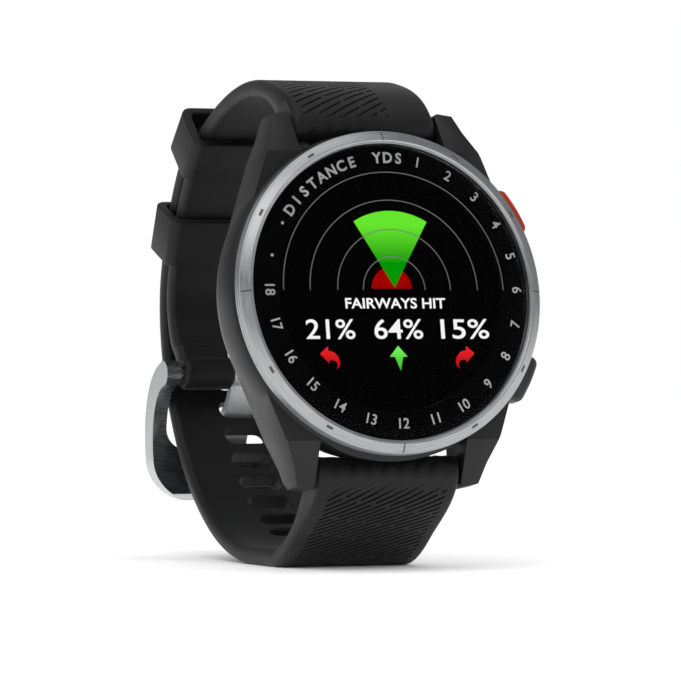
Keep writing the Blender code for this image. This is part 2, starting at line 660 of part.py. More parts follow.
def cut_lever_window(strap, side):
    """Window through the roll's wrist side, as long as the lever's travel."""
    centre, back = lever_place(side)
    window = box_mesh("lever_window", (1.5 * MM + PIN_TRAVEL + 0.7 * MM, 1.7 * MM, 4.0 * MM),
                      (LEVER_X + PIN_TRAVEL / 2, 0.0, -2.0 * MM))
    turn = HEAD_MATRIX.to_3x3().to_4x4()
    boolean(strap, window, matrix=Matrix.Translation(centre) @ turn)


def build_upper_strap():
    line = upper_line()
    length = line_lengths(line)[-1]

    def thickness(along):
        return near_roll(along) if along < length / 2 else STRAP_THICK

    strap = strap_with_roll("upper_strap", line[:-1], thickness)
    roll_half = STRAP_WIDTH / 2 - 0.3 * MM
    roll = rod_mesh("buckle_roll", BUCKLE_ROLL_RADIUS, (-roll_half, *BUCKLE_AXIS),
                    (roll_half, *BUCKLE_AXIS), 36)
    boolean(strap, roll, "UNION")
    bore = rod_mesh("buckle_bore", BUCKLE_BAR_RADIUS + 0.15 * MM, (-STRAP_WIDTH, *BUCKLE_AXIS),
                    (STRAP_WIDTH, *BUCKLE_AXIS), 20)
    boolean(strap, bore)
    notch = box_mesh("tongue_notch", (5.6 * MM, 8.0 * MM, 8.6 * MM),
                     (0.0, BUCKLE_AXIS[0], BUCKLE_AXIS[1] - 0.8 * MM))
    boolean(strap, notch)
    cut_bar_bore(strap, bar_centre(1))
    cut_lever_window(strap, 1)
    smooth(strap)


def slot_in_use():
    """Point of the lower strap's middle line at the slot in use, and how far along it is."""
    line = lower_line()
    lengths = line_lengths(line)
    for i in range(len(line) - 1):
        (y, z), (next_y, next_z) = line[i], line[i + 1]
        if z < SLOT_IN_USE_HEIGHT <= next_z and y > 0.0:
            share = (SLOT_IN_USE_HEIGHT - z) / (next_z - z)
            point = (y + (next_y - y) * share, SLOT_IN_USE_HEIGHT)
            return point, lengths[i] + share * math.dist(line[i], line[i + 1])
    raise ValueError("the lower strap never reaches the tongue")


def slot_places(line):
    """Points and directions of the slots along the lower strap's middle line."""
    lengths = line_lengths(line)
    places = []
    for number in range(-SLOTS_BELOW, SLOTS_ABOVE + 1):
        target = slot_in_use()[1] + number * SLOT_PITCH
        i = max(k for k in range(len(line) - 1) if lengths[k] <= target)
        share = (target - lengths[i]) / (lengths[i + 1] - lengths[i])
        a = Vector(line[i])
        b = Vector(line[i + 1])
        places.append((a.lerp(b, share), (b - a).normalized()))
    return places


def build_lower_strap():
    line = lower_line()
    strap = strap_with_roll("lower_strap", line, near_roll)
    outline = obround(SLOT_WIDTH / 2, SLOT_HEIGHT / 2, 5)
    for centre, along in slot_places(line):
        slot = plate_mesh("slot", outline, -4 * MM, 4 * MM)
        turn = Matrix(((1, 0, 0, 0), (0, along.x, -along.y, centre.x), (0, along.y, along.x, centre.y),
                       (0, 0, 0, 1)))
        boolean(strap, slot, matrix=turn)
    # The free end is rounded in plan.
    tip = Vector(line[-1])
    corner = 5.0 * MM
    along = (tip - Vector(line[-2])).normalized()
    base = tip - along * corner
    beyond = STRAP_WIDTH / 2 + MM
    for side in (1, -1):
        arc_x = side * (STRAP_WIDTH / 2 - corner)
        arc = arc_points((arc_x, 0.0), corner, (1 - side) * math.pi / 2, math.pi / 2, 7)
        edge = [(side * beyond, 0.0)] + arc
        edge += [(arc_x, corner + MM), (side * beyond, corner + MM)]
        if side < 0:
            edge.reverse()
        cutter = plate_mesh("tip_corner", edge, -4 * MM, 4 * MM)
        turn = Matrix(((1, 0, 0, 0), (0, along.x, -along.y, base.x), (0, along.y, along.x, base.y),
                       (0, 0, 0, 1)))
        boolean(strap, cutter, matrix=turn)
    cut_bar_bore(strap, bar_centre(-1))
    cut_lever_window(strap, -1)
    smooth(strap)


def build_spring_bar(prefix, side):
    """Tube with one fixed tip, and a sliding pin with its lever, pushed out by a small spring."""
    centre = bar_centre(side)
    half = 9.6 * MM
    tube = add_object(prefix + "_spring_bar", rod_mesh(prefix + "_tube", BAR_RADIUS, (-half, *centre),
                                                       (half, *centre), 20), STEEL)
    fixed_tip = rod_mesh("fixed_tip", TIP_RADIUS, (half - MM, *centre), (11.4 * MM, *centre), 12)
    boolean(tube, fixed_tip, "UNION")
    boolean(tube, rod_mesh("tube_bore", 0.55 * MM, (-half - MM, *centre), (0.0, *centre), 16))
    point, back = lever_place(side)
    turn = Matrix.Translation(point) @ HEAD_MATRIX.to_3x3().to_4x4()
    window = box_mesh("tube_window", (1.0 * MM + PIN_TRAVEL + 0.5 * MM, 0.9 * MM, 1.5 * MM),
                      (LEVER_X + PIN_TRAVEL / 2, 0.0, -0.75 * MM))
    boolean(tube, window, matrix=turn)
    smooth(tube)
    pin = add_object(prefix + "_release_pin", rod_mesh(prefix + "_pin", TIP_RADIUS, (-11.4 * MM, *centre),
                                                       (-5.6 * MM, *centre), 12), STEEL)
    lever = rod_mesh("lever", 0.35 * MM, point + Vector((LEVER_X, 0, 0)),
                     point + Vector((LEVER_X, 0, 0)) + back * 2.6 * MM, 12)
    boolean(pin, lever, "UNION")
    smooth(pin)
    spring = spring_mesh(prefix + "_bar_spring", 0.33 * MM, 0.09 * MM, -5.4 * MM, -0.2 * MM, 5)
    spring.transform(Matrix.Translation((0.0, *centre)) @ Matrix.Rotation(math.pi / 2, 4, "Y"))
    add_object(prefix + "_bar_spring", spring, STEEL)


# ---------------------------------------------------------------- buckle and keepers


def buckle_spine():
    """Side view of the buckle frame's middle, from its bar outward and down to the crossbar."""
    y, z = BUCKLE_AXIS
    return blend_curve((y, z), math.radians(-15.0), 5.5 * MM, (y + 3.6 * MM, z - 17.2 * MM),
                       math.radians(-112.0), 9.0 * MM, 12)


def tongue_spine():
    """Side view of the tongue's middle: down from the bar, out through the slot, over the crossbar."""
    y, z = BUCKLE_AXIS
    slot = slot_in_use()[0]
    to_slot = blend_curve((y, z), math.radians(-79.0), 3.6 * MM, slot, math.radians(-36.0),
                          1.6 * MM, 9)
    over = blend_curve(slot, math.radians(-36.0), 3.8 * MM, (y + 6.4 * MM, z - 13.8 * MM),
                       math.radians(-100.0), 3.0 * MM, 9)
    return to_slot[:-1] + over


def build_buckle():
    axis = BUCKLE_AXIS
    line = buckle_spine()
    length = line_lengths(line)[-1]

    def thickness(along):
        share = along / length
        return (3.4 - 0.7 * share) * MM

    frame = add_object("buckle_frame", side_plate_mesh("buckle_frame", swept_outline(line, thickness),
                                                       BUCKLE_HALF_WIDTH), STEEL)
    ends = rod_mesh("arm_ends", EYE_RADIUS, (-BUCKLE_HALF_WIDTH, *axis),
                    (BUCKLE_HALF_WIDTH, *axis), 28)
    boolean(frame, ends, "UNION")
    # The window, from past the bar down to the crossbar, and the rounded lower corners.
    inner = BUCKLE_HALF_WIDTH - ARM_WIDTH
    low = -10.6 * MM
    corner = 3.0 * MM
    window = [(-inner, 4 * MM), (-inner, low + corner)]
    window += arc_points((-inner + corner, low + corner), corner, math.pi, 1.5 * math.pi, 5)[1:]
    window += arc_points((inner - corner, low + corner), corner, -math.pi / 2, 0.0, 5)
    window += [(inner, 4 * MM)]
    cutter = plate_mesh("buckle_window", window, -20 * MM, 20 * MM)
    upright = Matrix(((1, 0, 0, 0), (0, 0, -1, axis[0]), (0, 1, 0, axis[1]), (0, 0, 0, 1)))
    boolean(frame, cutter, matrix=upright)
    bottom = min(p[1] for p in swept_outline(line, thickness)) - axis[1]
    radius = 5.5 * MM
    beyond = BUCKLE_HALF_WIDTH + MM
    for side in (1, -1):
        arc_x = side * (BUCKLE_HALF_WIDTH - radius)
        arc = arc_points((arc_x, bottom + radius), radius, -math.pi / 2, (side - 1) * math.pi / 2, 9)
        edge = arc + [(side * beyond, bottom + radius), (side * beyond, bottom - MM),
                      (arc_x, bottom - MM)]
        if side > 0:
            edge.reverse()
        boolean(frame, plate_mesh("buckle_corner", edge, -20 * MM, 20 * MM), matrix=upright)
    bores = rod_mesh("arm_bores", BUCKLE_BAR_RADIUS + BUCKLE_BAR_CLEARANCE, (-11.6 * MM, *axis),
                     (11.6 * MM, *axis), 20)
    boolean(frame, bores)
    recess = swept_outline(tongue_spine(), lambda along: TONGUE_THICK + 0.7 * MM)
    boolean(frame, side_plate_mesh("tongue_recess", recess, TONGUE_WIDTH / 2 + 0.3 * MM))
    smooth(frame)
    bar = rod_mesh("buckle_bar", BUCKLE_BAR_RADIUS, (-11.5 * MM, *axis), (11.5 * MM, *axis), 20)
    smooth(add_object("buckle_bar", bar, STEEL))
    build_tongue()


def build_tongue():
    y, z = BUCKLE_AXIS
    line = drop_start(tongue_spine(), 0.9 * MM)
    length = line_lengths(line)[-1]

    def thickness(along):
        return TONGUE_THICK * (1.0 if along < 0.8 * length else 1.0 - 2.5 * (along / length - 0.8))

    outline = swept_outline(line, thickness)
    blade = side_plate_mesh("buckle_tongue", outline, TONGUE_WIDTH / 2)
    tongue = add_object("buckle_tongue", blade, STEEL)
    ring = rod_mesh("tongue_ring", EYE_RADIUS, (-TONGUE_WIDTH / 2, y, z), (TONGUE_WIDTH / 2, y, z), 26)
    boolean(tongue, ring, "UNION")
    bore = rod_mesh("tongue_bore", BUCKLE_BAR_RADIUS + BUCKLE_BAR_CLEARANCE, (-TONGUE_WIDTH, y, z),
                    (TONGUE_WIDTH, y, z), 20)
    boolean(tongue, bore)
    smooth(tongue)


def build_keeper(name, angle):
    """A flat-sided loop round both strap layers, set square to the band arc."""
    inner_x = STRAP_WIDTH / 2 + KEEPER_CLEARANCE
    inner_y = STRAP_THICK + LAYER_GAP / 2 + KEEPER_CLEARANCE
    outer = rounded_rectangle(inner_x + KEEPER_WALL, inner_y + KEEPER_WALL, 1.5 * MM, 5)
    inner = rounded_rectangle(inner_x, inner_y, 0.6 * MM, 3)
    half = KEEPER_LENGTH / 2
    keeper = add_object(name, plate_mesh(name, outer, -half, half), RUBBER)
    boolean(keeper, plate_mesh("keeper_hole", inner, -2 * half, 2 * half))
    out = (math.cos(angle), math.sin(angle))
    centre = band_point(BAND_RADIUS, angle)
    # Local X stays X, local Y points out of the wrist, local Z runs along the strap.
    keeper.matrix_world = Matrix(((1, 0, 0, 0), (0, out[0], -out[1], centre[0]),
                                  (0, out[1], out[0], centre[1]), (0, 0, 0, 1)))
    smooth(keeper)


build_case()
build_bezel()
build_glass_and_display()
build_electronics()
build_rear()
build_button("start", START_ANGLE, RED)
build_button("back", BACK_ANGLE, BUTTON_BLACK)
build_upper_strap()
build_lower_strap()
build_spring_bar("upper", 1)
build_spring_bar("lower", -1)
build_buckle()
build_keeper("upper_keeper", UPPER_KEEPER_ANGLE)
build_keeper("lower_keeper", LOWER_KEEPER_ANGLE)
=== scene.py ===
"""Golf GPS watch: the visual model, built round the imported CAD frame.

Every size is in metres, in the CAD's own frame: the watch stands on its lower strap at the
origin, Z is up and the face looks along -Y and leans back by ten degrees.
"""
import math

import bmesh
import bpy
from bpy.props import (FloatProperty, FloatVectorProperty, IntProperty, PointerProperty,
                       StringProperty)
from mathutils import Matrix, Vector, geometry


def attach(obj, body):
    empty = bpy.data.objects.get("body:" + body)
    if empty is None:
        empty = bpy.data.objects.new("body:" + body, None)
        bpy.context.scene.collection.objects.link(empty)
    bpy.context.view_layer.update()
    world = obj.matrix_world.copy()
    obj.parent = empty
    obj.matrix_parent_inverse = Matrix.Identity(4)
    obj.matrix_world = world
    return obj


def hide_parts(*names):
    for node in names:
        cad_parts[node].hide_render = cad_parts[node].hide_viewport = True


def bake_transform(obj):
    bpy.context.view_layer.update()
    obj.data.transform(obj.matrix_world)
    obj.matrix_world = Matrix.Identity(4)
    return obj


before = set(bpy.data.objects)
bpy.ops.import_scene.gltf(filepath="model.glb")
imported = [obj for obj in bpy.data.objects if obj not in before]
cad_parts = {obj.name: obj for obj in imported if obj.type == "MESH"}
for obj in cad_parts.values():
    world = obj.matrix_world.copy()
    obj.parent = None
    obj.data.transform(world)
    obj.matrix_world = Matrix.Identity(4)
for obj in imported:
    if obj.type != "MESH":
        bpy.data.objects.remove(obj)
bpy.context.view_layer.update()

bl_info = {
    "name": "Golf GPS watch",
    "version": (1, 0, 0),
    "blender": (4, 5, 0),
    "location": "View3D > Sidebar > Watch",
    "description": "Builds a round golf GPS watch with a buckled rubber strap round its CAD frame",
    "category": "Add Mesh",
}

MM = 0.001

# Where the head stands. Its own frame: +Z out of the face, +Y towards twelve o'clock.
HEAD = (Matrix.Translation((0.0, -21.0 * MM, 36.4 * MM))
        @ Matrix.Rotation(math.radians(80.0), 4, "X"))
HEAD_TURN = HEAD.to_3x3().to_4x4()

# Head sizes that the CAD fixes, as radii and as heights in the head's frame.
BEZEL_RADIUS = 21.3 * MM
GLASS_RADIUS = 19.45 * MM
CASE_RADIUS = 21.7 * MM
CASE_BORE = 17.8 * MM
CASE_TOP = -2.4 * MM
CASE_BACK = -9.7 * MM
COVER_BACK = -11.7 * MM
PRINT_HEIGHT = -1.15 * MM      # of the printed ring and the display under the glass
NUMERAL_HEIGHT = -1.012 * MM   # of the ink on the underside of the glass
BORDER_HEIGHTS = (-1.02 * MM, -1.04 * MM)
BORDER_RADII = (18.25 * MM, 19.4 * MM)
RING_RADII = (15.65 * MM, 18.3 * MM)
LUG_GAP = 20.8 * MM
LUG_TIP = 24.9 * MM
LUG_WIDTH = 3.0 * MM
BAR_OUT = 23.0 * MM
BAR_HEIGHT = -7.3 * MM
BAR_RADIUS = 0.8 * MM
BUTTON_HEIGHT = -5.2 * MM
BUTTON_LENGTH = 6.6 * MM
BUTTON_DEPTH = 2.7 * MM
BUTTON_FACE = 23.8 * MM
STEM_RADIUS = 0.8 * MM
STEM_END = 16.9 * MM
START_ANGLE = math.radians(30.0)
BACK_ANGLE = math.radians(-29.0)
SCREW_CIRCLE = 19.05 * MM

# How far the print and the lit picture stand off the bezel's middle, to the right and up. They
# were matched to the finished view, and no cause is claimed for them.
NUMERAL_SHIFT = (0.56 * MM, 0.28 * MM, 0.0)
PICTURE_SHIFT = (0.33 * MM, 0.13 * MM, 0.0)
ARC_SHIFT = (0.05 * MM, 0.13 * MM, 0.0)
ARC_CENTRE = (0.5 * MM, 0.16 * MM, 0.0)

# Strap, keepers and buckle, as the CAD has them.
STRAP_WIDTH = 20.0 * MM
STRAP_THICK = 2.3 * MM
ROLL_RADIUS = 2.45 * MM
LAYER_GAP = 0.35 * MM
BAND_CENTRE = (-4.9 * MM, 29.1 * MM)
BAND_RADIUS = 40.1 * MM
FOOT_FRONT = -4.0 * MM
FOOT_BACK = 4.0 * MM
SLOT_PITCH = 4.3 * MM
SLOT_WIDTH = 6.3 * MM
SLOT_HEIGHT = 2.5 * MM
SLOTS_BELOW = 6
SLOTS_ABOVE = 3
SLOT_IN_USE_HEIGHT = 19.7 * MM
BUCKLE_AXIS = (29.0 * MM, 25.2 * MM)
BUCKLE_BAR_RADIUS = 0.75 * MM
BUCKLE_BAR_CLEARANCE = 0.12 * MM
EYE_RADIUS = 1.75 * MM         # of the eyes round the buckle bar
STRAP_BAR_CLEARANCE = 0.15 * MM
BUCKLE_ROLL_RADIUS = 2.25 * MM
BUCKLE_HALF_WIDTH = 12.4 * MM
ARM_WIDTH = 2.0 * MM
TONGUE_WIDTH = 4.6 * MM
TONGUE_THICK = 1.2 * MM
LEVER_X = -7.0 * MM
PIN_TRAVEL = 1.2 * MM
UPPER_KEEPER_ANGLE = math.radians(43.3)
LOWER_KEEPER_ANGLE = math.radians(22.5)
KEEPER_LENGTH = 6.7 * MM
KEEPER_WALL = 1.2 * MM
KEEPER_CLEARANCE = 0.3 * MM
TAPER_LENGTH = 11.0 * MM       # over which a strap thins from its roll to its flat


# ---------------------------------------------------------------- settings


class HeadSettings(bpy.types.PropertyGroup):
    """Sizes of the watch head that the CAD leaves open."""

    circle_steps: IntProperty(name="Circle steps", description="Flats round a turned piece",
                              default=160, min=24, max=256)
    mark_count: IntProperty(name="Bezel marks", description="Marks engraved round the bezel",
                            default=12, min=4, max=60)
    mark_depth: FloatProperty(name="Mark depth", description="How deep the bezel marks are cut",
                              default=0.09 * MM, unit="LENGTH", precision=5)
    numeral_radius: FloatProperty(name="Numeral radius",
                                  description="Radius of the printed numerals",
                                  default=17.5 * MM, unit="LENGTH", precision=5)
    numeral_size: FloatProperty(name="Numeral size",
                                description="Text size of the printed numerals",
                                default=1.85 * MM, unit="LENGTH", precision=5)
    arc_words: StringProperty(name="Dial words",
                              description="Generic words printed left of twelve",
                              default="DISTANCE")
    unit_words: StringProperty(name="Dial unit", description="Unit printed at twelve",
                               default="YDS")
    screen_title: StringProperty(name="Screen title",
                                 description="Heading of the lit statistics",
                                 default="FAIRWAYS HIT")


class StrapSettings(bpy.types.PropertyGroup):
    """Sizes of the moulded pattern on the strap."""

    groove_pitch: FloatProperty(name="Groove pitch",
                                description="From one groove to the next along the strap",
                                default=1.16 * MM, unit="LENGTH", precision=5)
    lower_groove_pitch: FloatProperty(name="Lower groove pitch",
                                      description="The same on the slotted half",
                                      default=0.92 * MM, unit="LENGTH", precision=5)
    groove_width: FloatProperty(name="Groove width",
                                description="Width of a groove at the surface",
                                default=0.34 * MM, unit="LENGTH", precision=5)
    groove_depth: FloatProperty(name="Groove depth", description="How deep a groove is moulded",
                                default=0.26 * MM, unit="LENGTH", precision=5)
    dash_period: FloatProperty(name="Dash period",
                               description="Length of a dash and its gap, across the strap",
                               default=4.5 * MM, unit="LENGTH", precision=5)
    dash_gap: FloatProperty(name="Dash gap", description="Land between two dashes in a row",
                            default=0.46 * MM, unit="LENGTH", precision=5)
    slant: FloatProperty(name="Slant", description="Turn of the grooves from straight across",
                         default=math.radians(30.0), subtype="ANGLE")
    edge_radius: FloatProperty(name="Edge radius",
                               description="Rounding of the strap's long edges",
                               default=0.75 * MM, unit="LENGTH", precision=5)


class FinishSettings(bpy.types.PropertyGroup):
    """Colours that a user would change."""

    strap_colour: StringProperty(name="Strap colour", description="sRGB hex of the silicone",
                                 default="#0C0C0D")
    case_colour: StringProperty(name="Case colour", description="sRGB hex of the case",
                                default="#141416")
    start_colour: StringProperty(name="Start button",
                                 description="sRGB hex of the start button",
                                 default="#B62D17")
    green: StringProperty(name="Green", description="sRGB hex of the lit green", default="#66E52E")
    red: StringProperty(name="Red", description="sRGB hex of the lit red", default="#990000")


class StageSettings(bpy.types.PropertyGroup):
    """Floor, lights and camera."""

    camera_place: FloatVectorProperty(name="Camera", description="Where the camera stands",
                                      default=(-0.27324, -0.63468, 0.03386), subtype="TRANSLATION")
    camera_lens: FloatProperty(name="Focal length", description="On a 36 mm wide sensor, in mm",
                               default=273.7, min=10.0)
    floor_size: FloatProperty(name="Floor size", description="Side of the square floor",
                              default=60.0, unit="LENGTH")
    light_power: FloatProperty(name="Light", description="Multiplies every lamp", default=1.0,
                               min=0.0)


# ---------------------------------------------------------------- materials


def linear(hex_colour):
    """An sRGB hex colour as linear RGBA."""
    parts = [int(hex_colour[i:i + 2], 16) / 255 for i in (1, 3, 5)]
    rgb = [p / 12.92 if p <= 0.04045 else ((p + 0.055) / 1.055) ** 2.4 for p in parts]
    return (*rgb, 1.0)


def add_node(tree, kind, inputs=None, **settings):
    """Add one node with its settings, its values and its links."""
    made = tree.nodes.new(kind)
    for key, value in settings.items():
        setattr(made, key, value)
    for key, value in (inputs or {}).items():
        if isinstance(value, bpy.types.NodeSocket):
            tree.links.new(value, made.inputs[key])
        else:
            made.inputs[key].default_value = value
    return made


def new_finish(name, colour, roughness, **values):
    """A material with one Principled shader, its plain values set on the shader itself."""
    material = bpy.data.materials.new(name)
    material.use_nodes = True
    tree = material.node_tree
    shader = tree.nodes["Principled BSDF"]
    shader.inputs["Base Color"].default_value = linear(colour)
    shader.inputs["Roughness"].default_value = roughness
    for key, value in values.items():
        shader.inputs[key.replace("_", " ")].default_value = value
    material.diffuse_color = linear(colour)
    return material, tree, shader


def add_bump(tree, shader, noise, height):
    """Let a noise raise the surface by up to height, in metres."""
    bump = add_node(tree, "ShaderNodeBump", {"Height": noise.outputs["Fac"], "Distance": height,
                                             "Strength": 1.0})
    tree.links.new(bump.outputs["Normal"], shader.inputs["Normal"])


def vary(tree, shader, noise, reach, dark, light, rough_low, rough_high):
    """Let a noise change the colour and the roughness, within reach of its middle."""
    low, high = 0.5 - reach, 0.5 + reach
    ramp = add_node(tree, "ShaderNodeValToRGB", {"Fac": noise.outputs["Fac"]})
    ramp.color_ramp.elements[0].position = low
    ramp.color_ramp.elements[1].position = high
    ramp.color_ramp.elements[0].color = linear(dark)
    ramp.color_ramp.elements[1].color = linear(light)
    tree.links.new(ramp.outputs["Color"], shader.inputs["Base Color"])
    rough = add_node(tree, "ShaderNodeMapRange", {"Value": noise.outputs["Fac"], "From Min": 0.3,
                                                  "From Max": 0.7, "To Min": rough_low,
                                                  "To Max": rough_high})
    tree.links.new(rough.outputs["Result"], shader.inputs["Roughness"])


def grain(tree, shader, size, height):
    """A fine bump of a real grain size and height, in metres."""
    coordinates = add_node(tree, "ShaderNodeTexCoord").outputs["Object"]
    noise = add_node(tree, "ShaderNodeTexNoise", {"Vector": coordinates, "Scale": 1.0 / size,
                                                  "Detail": 2.0})
    add_bump(tree, shader, noise, height)


def mottle(tree, shader, size, dark, light, rough_low, rough_high):
    """Slow change of colour and roughness over a surface, as handling and moulding leave."""
    coordinates = add_node(tree, "ShaderNodeTexCoord").outputs["Object"]
    noise = add_node(tree, "ShaderNodeTexNoise", {"Vector": coordinates, "Scale": 1.0 / size,
                                                  "Detail": 3.0})
    vary(tree, shader, noise, 0.2, dark, light, rough_low, rough_high)


def shade(hex_colour, factor):
    """A hex colour made lighter or darker."""
    parts = [min(255, round(int(hex_colour[i:i + 2], 16) * factor)) for i in (1, 3, 5)]
    return "#%02X%02X%02X" % tuple(parts)


def moulded_silicone():
    """Silicone rubber, compression moulded in an etched tool: matt, with a soft velvety edge."""
    colour = bpy.context.scene.watch_finish.strap_colour
    material, tree, shader = new_finish("moulded_silicone", colour, 0.5, Sheen_Weight=0.08,
                                        Sheen_Roughness=0.4, Specular_IOR_Level=0.3)
    mottle(tree, shader, 7 * MM, shade(colour, 0.93), shade(colour, 1.1), 0.46, 0.56)
    grain(tree, shader, 0.16 * MM, 0.006 * MM)
    return material


def case_nylon():
    """Glass-filled nylon, injection moulded with a fine spark-eroded grain: satin dark grey."""
    colour = bpy.context.scene.watch_finish.case_colour
    material, tree, shader = new_finish("glass_filled_nylon", colour, 0.42,
                                        Specular_IOR_Level=0.35)
    mottle(tree, shader, 5 * MM, shade(colour, 0.94), shade(colour, 1.07), 0.38, 0.47)
    grain(tree, shader, 0.13 * MM, 0.003 * MM)
    return material


def brushed_steel(name, roughness, streak, height, light, dark, metallic=1.0):
    """Stainless steel, brushed along the piece's own U direction: its fine streaks give long
    highlights.

    streak is the width of one brush line. The real lines are finer than the view can show."""
    material, tree, shader = new_finish(name, light, roughness, Metallic=metallic)
    place = add_node(tree, "ShaderNodeUVMap", uv_map="brush")
    lines = add_node(tree, "ShaderNodeMapping", {"Vector": place.outputs["UV"],
                                                 "Scale": (0.02 / streak, 1.0 / streak, 1.0)})
    noise = add_node(tree, "ShaderNodeTexNoise", {"Vector": lines.outputs["Vector"], "Scale": 1.0,
                                                  "Detail": 3.0}, noise_dimensions="2D")
    vary(tree, shader, noise, 0.15, dark, light, roughness * 0.8, roughness * 1.25)
    add_bump(tree, shader, noise, height)
    return material


def speckled(name, colour, roughness, height=0.002 * MM, **values):
    """A plain finish with a fine grain and a little drift in its colour."""
    material, tree, shader = new_finish(name, colour, roughness, **values)
    mottle(tree, shader, 3 * MM, shade(colour, 0.92), shade(colour, 1.08),
           roughness * 0.88, roughness * 1.12)
    grain(tree, shader, 0.2 * MM, height)
    return material


def cover_glass():
    """Chemically strengthened glass, polished and coated against glare: clear, its mirror dark.

    Lamps shine through it, so that the print below is lit."""
    material, tree, shader = new_finish("strengthened_glass", "#FFFFFF", 0.01, IOR=1.5,
                                        Transmission_Weight=1.0,
                                        Specular_Tint=(0.04, 0.04, 0.04, 1.0))
    clear = add_node(tree, "ShaderNodeBsdfTransparent")
    path = add_node(tree, "ShaderNodeLightPath")
    both = add_node(tree, "ShaderNodeMixShader", {0: path.outputs["Is Shadow Ray"],
                                                  1: shader.outputs["BSDF"],
                                                  2: clear.outputs["BSDF"]})
    tree.links.new(both.outputs["Shader"], tree.nodes["Material Output"].inputs["Surface"])
    return material


def lit(name, colour):
    """Light from the display, one flat colour as a screen gives."""
    material, _, shader = new_finish(name, "#000000", 0.6, Emission_Strength=1.0,
                                     Specular_IOR_Level=0.0)
    shader.inputs["Emission Color"].default_value = linear(colour)
    return material


def lit_blend(name, low, low_colour, high, high_colour):
    """Light from the display that changes from one height on the object to another."""
    material, tree, shader = new_finish(name, "#000000", 0.6, Emission_Strength=1.0,
                                        Specular_IOR_Level=0.0)
    place = add_node(tree, "ShaderNodeTexCoord")
    split = add_node(tree, "ShaderNodeSeparateXYZ", {0: place.outputs["Object"]})
    share = add_node(tree, "ShaderNodeMapRange", {"Value": split.outputs["Z"], "From Min": low,
                                                  "From Max": high})
    ramp = add_node(tree, "ShaderNodeValToRGB", {"Fac": share.outputs["Result"]})
    ramp.color_ramp.elements[0].color = linear(low_colour)
    ramp.color_ramp.elements[1].color = linear(high_colour)
    tree.links.new(ramp.outputs["Color"], shader.inputs["Emission Color"])
    return material


FINISHES = {
    "silicone": moulded_silicone,
    "case": case_nylon,
    # Bezel: turned, then brushed round its axis.
    "bezel": lambda: brushed_steel("brushed_bezel_steel", 0.36, 0.06 * MM, 0.0002 * MM,
                                   "#B4B5B7", "#9C9DA0"),
    # Buckle: polished after a light brushing, so its reflections stay sharp.
    "buckle": lambda: brushed_steel("polished_buckle_steel", 0.26, 0.06 * MM, 0.00004 * MM,
                                    "#C0C1C3", "#B6B7BA"),
    # Tongue: pressed and brushed across. Its metallic value is below steel's, because that matched
    # its bright face: the share of its pale colour that shades as plain diffuse white is a painted
    # highlight, standing in for the reflection on that face.
    "tongue": lambda: brushed_steel("brushed_tongue_steel", 0.42, 0.12 * MM, 0.0004 * MM,
                                    "#E4E5E6", "#CFD0D2", metallic=0.45),
    # Small pins and bars: drawn spring steel.
    "spring": lambda: speckled("drawn_spring_steel", "#B9BABC", 0.25, Metallic=1.0),
    # Paint in the engraved marks: dull and dark.
    "mark": lambda: speckled("engraving_paint", "#4B4C4E", 0.7),
    "glass": cover_glass,
    # Printed ring: back-printed black ink on a polyester ring, semi gloss.
    "ring": lambda: speckled("black_screen_ink", "#050506", 0.5, height=0.0005 * MM,
                             Specular_IOR_Level=0.0),
    # Numerals: pale grey ink.
    "ink": lambda: speckled("grey_screen_ink", "#BFC0C2", 0.6, height=0.0005 * MM,
                            Specular_IOR_Level=0.0),
    # Display: black glass of the unlit screen.
    "panel": lambda: speckled("display_black_glass", "#010101", 0.5, height=0.0001 * MM,
                              Specular_IOR_Level=0.0),
    "start": lambda: speckled("anodised_red_aluminium",
                              bpy.context.scene.watch_finish.start_colour, 0.34, Metallic=0.55),
    "back": lambda: speckled("black_button_polymer", "#2B2C2E", 0.36),
    "seal": lambda: speckled("seal_silicone", "#26272A", 0.6),
    "board": lambda: speckled("green_solder_mask", "#12603A", 0.4),
    "can": lambda: speckled("tinned_shield_steel", "#B4B5B2", 0.36, Metallic=1.0),
    "cell": lambda: speckled("battery_foil", "#8A8C90", 0.42, Metallic=0.4),
    "motor": lambda: speckled("motor_can_steel", "#ABACAE", 0.3, Metallic=1.0),
    "copper": lambda: speckled("plated_copper", "#C9824E", 0.33, Metallic=1.0),
    "frame": lambda: speckled("inner_frame_nylon", "#3A3B3E", 0.55),
    "flex": lambda: speckled("polyimide_flex", "#B8741C", 0.4),
    "gold": lambda: speckled("gold_plated_contact", "#D9B45A", 0.25, Metallic=1.0),
    "cover": lambda: speckled("rear_cover_nylon", "#26272A", 0.4),
    "white": lambda: lit("lit_white", "#F4F4F4"),
    "grey": lambda: lit("lit_grey", "#6E6E6E"),
}


MADE = {}


def finish(key):
    """The material of that key, made the first time it is asked for."""
    if key not in MADE:
        MADE[key] = FINISHES[key]()
    return MADE[key]


# ---------------------------------------------------------------- mesh helpers


def link(name, mesh, *materials):
    obj = bpy.data.objects.new(name, mesh)
    mesh.materials.clear()
    for material in materials:
        mesh.materials.append(material)
    bpy.context.scene.collection.objects.link(obj)
    return obj


def evaluated(obj):
    bpy.context.view_layer.update()
    graph = bpy.context.evaluated_depsgraph_get()
    return bpy.data.meshes.new_from_object(obj.evaluated_get(graph), depsgraph=graph)


def bake(obj):
    """Keep what the modifiers make, and drop the modifiers."""
    result = evaluated(obj)
    obj.modifiers.clear()
    obj.data = result
    return obj


def cleaned(mesh, distance=1e-6):
    work = bmesh.new()
    work.from_mesh(mesh)
    bmesh.ops.remove_doubles(work, verts=work.verts, dist=distance)
    bmesh.ops.dissolve_degenerate(work, edges=work.edges, dist=distance)
    bmesh.ops.recalc_face_normals(work, faces=work.faces)
    work.to_mesh(mesh)
    work.free()
    return mesh


def soften(obj, angle=32.0):
    obj.data.shade_smooth()
    obj.data.set_sharp_from_angle(angle=math.radians(angle))


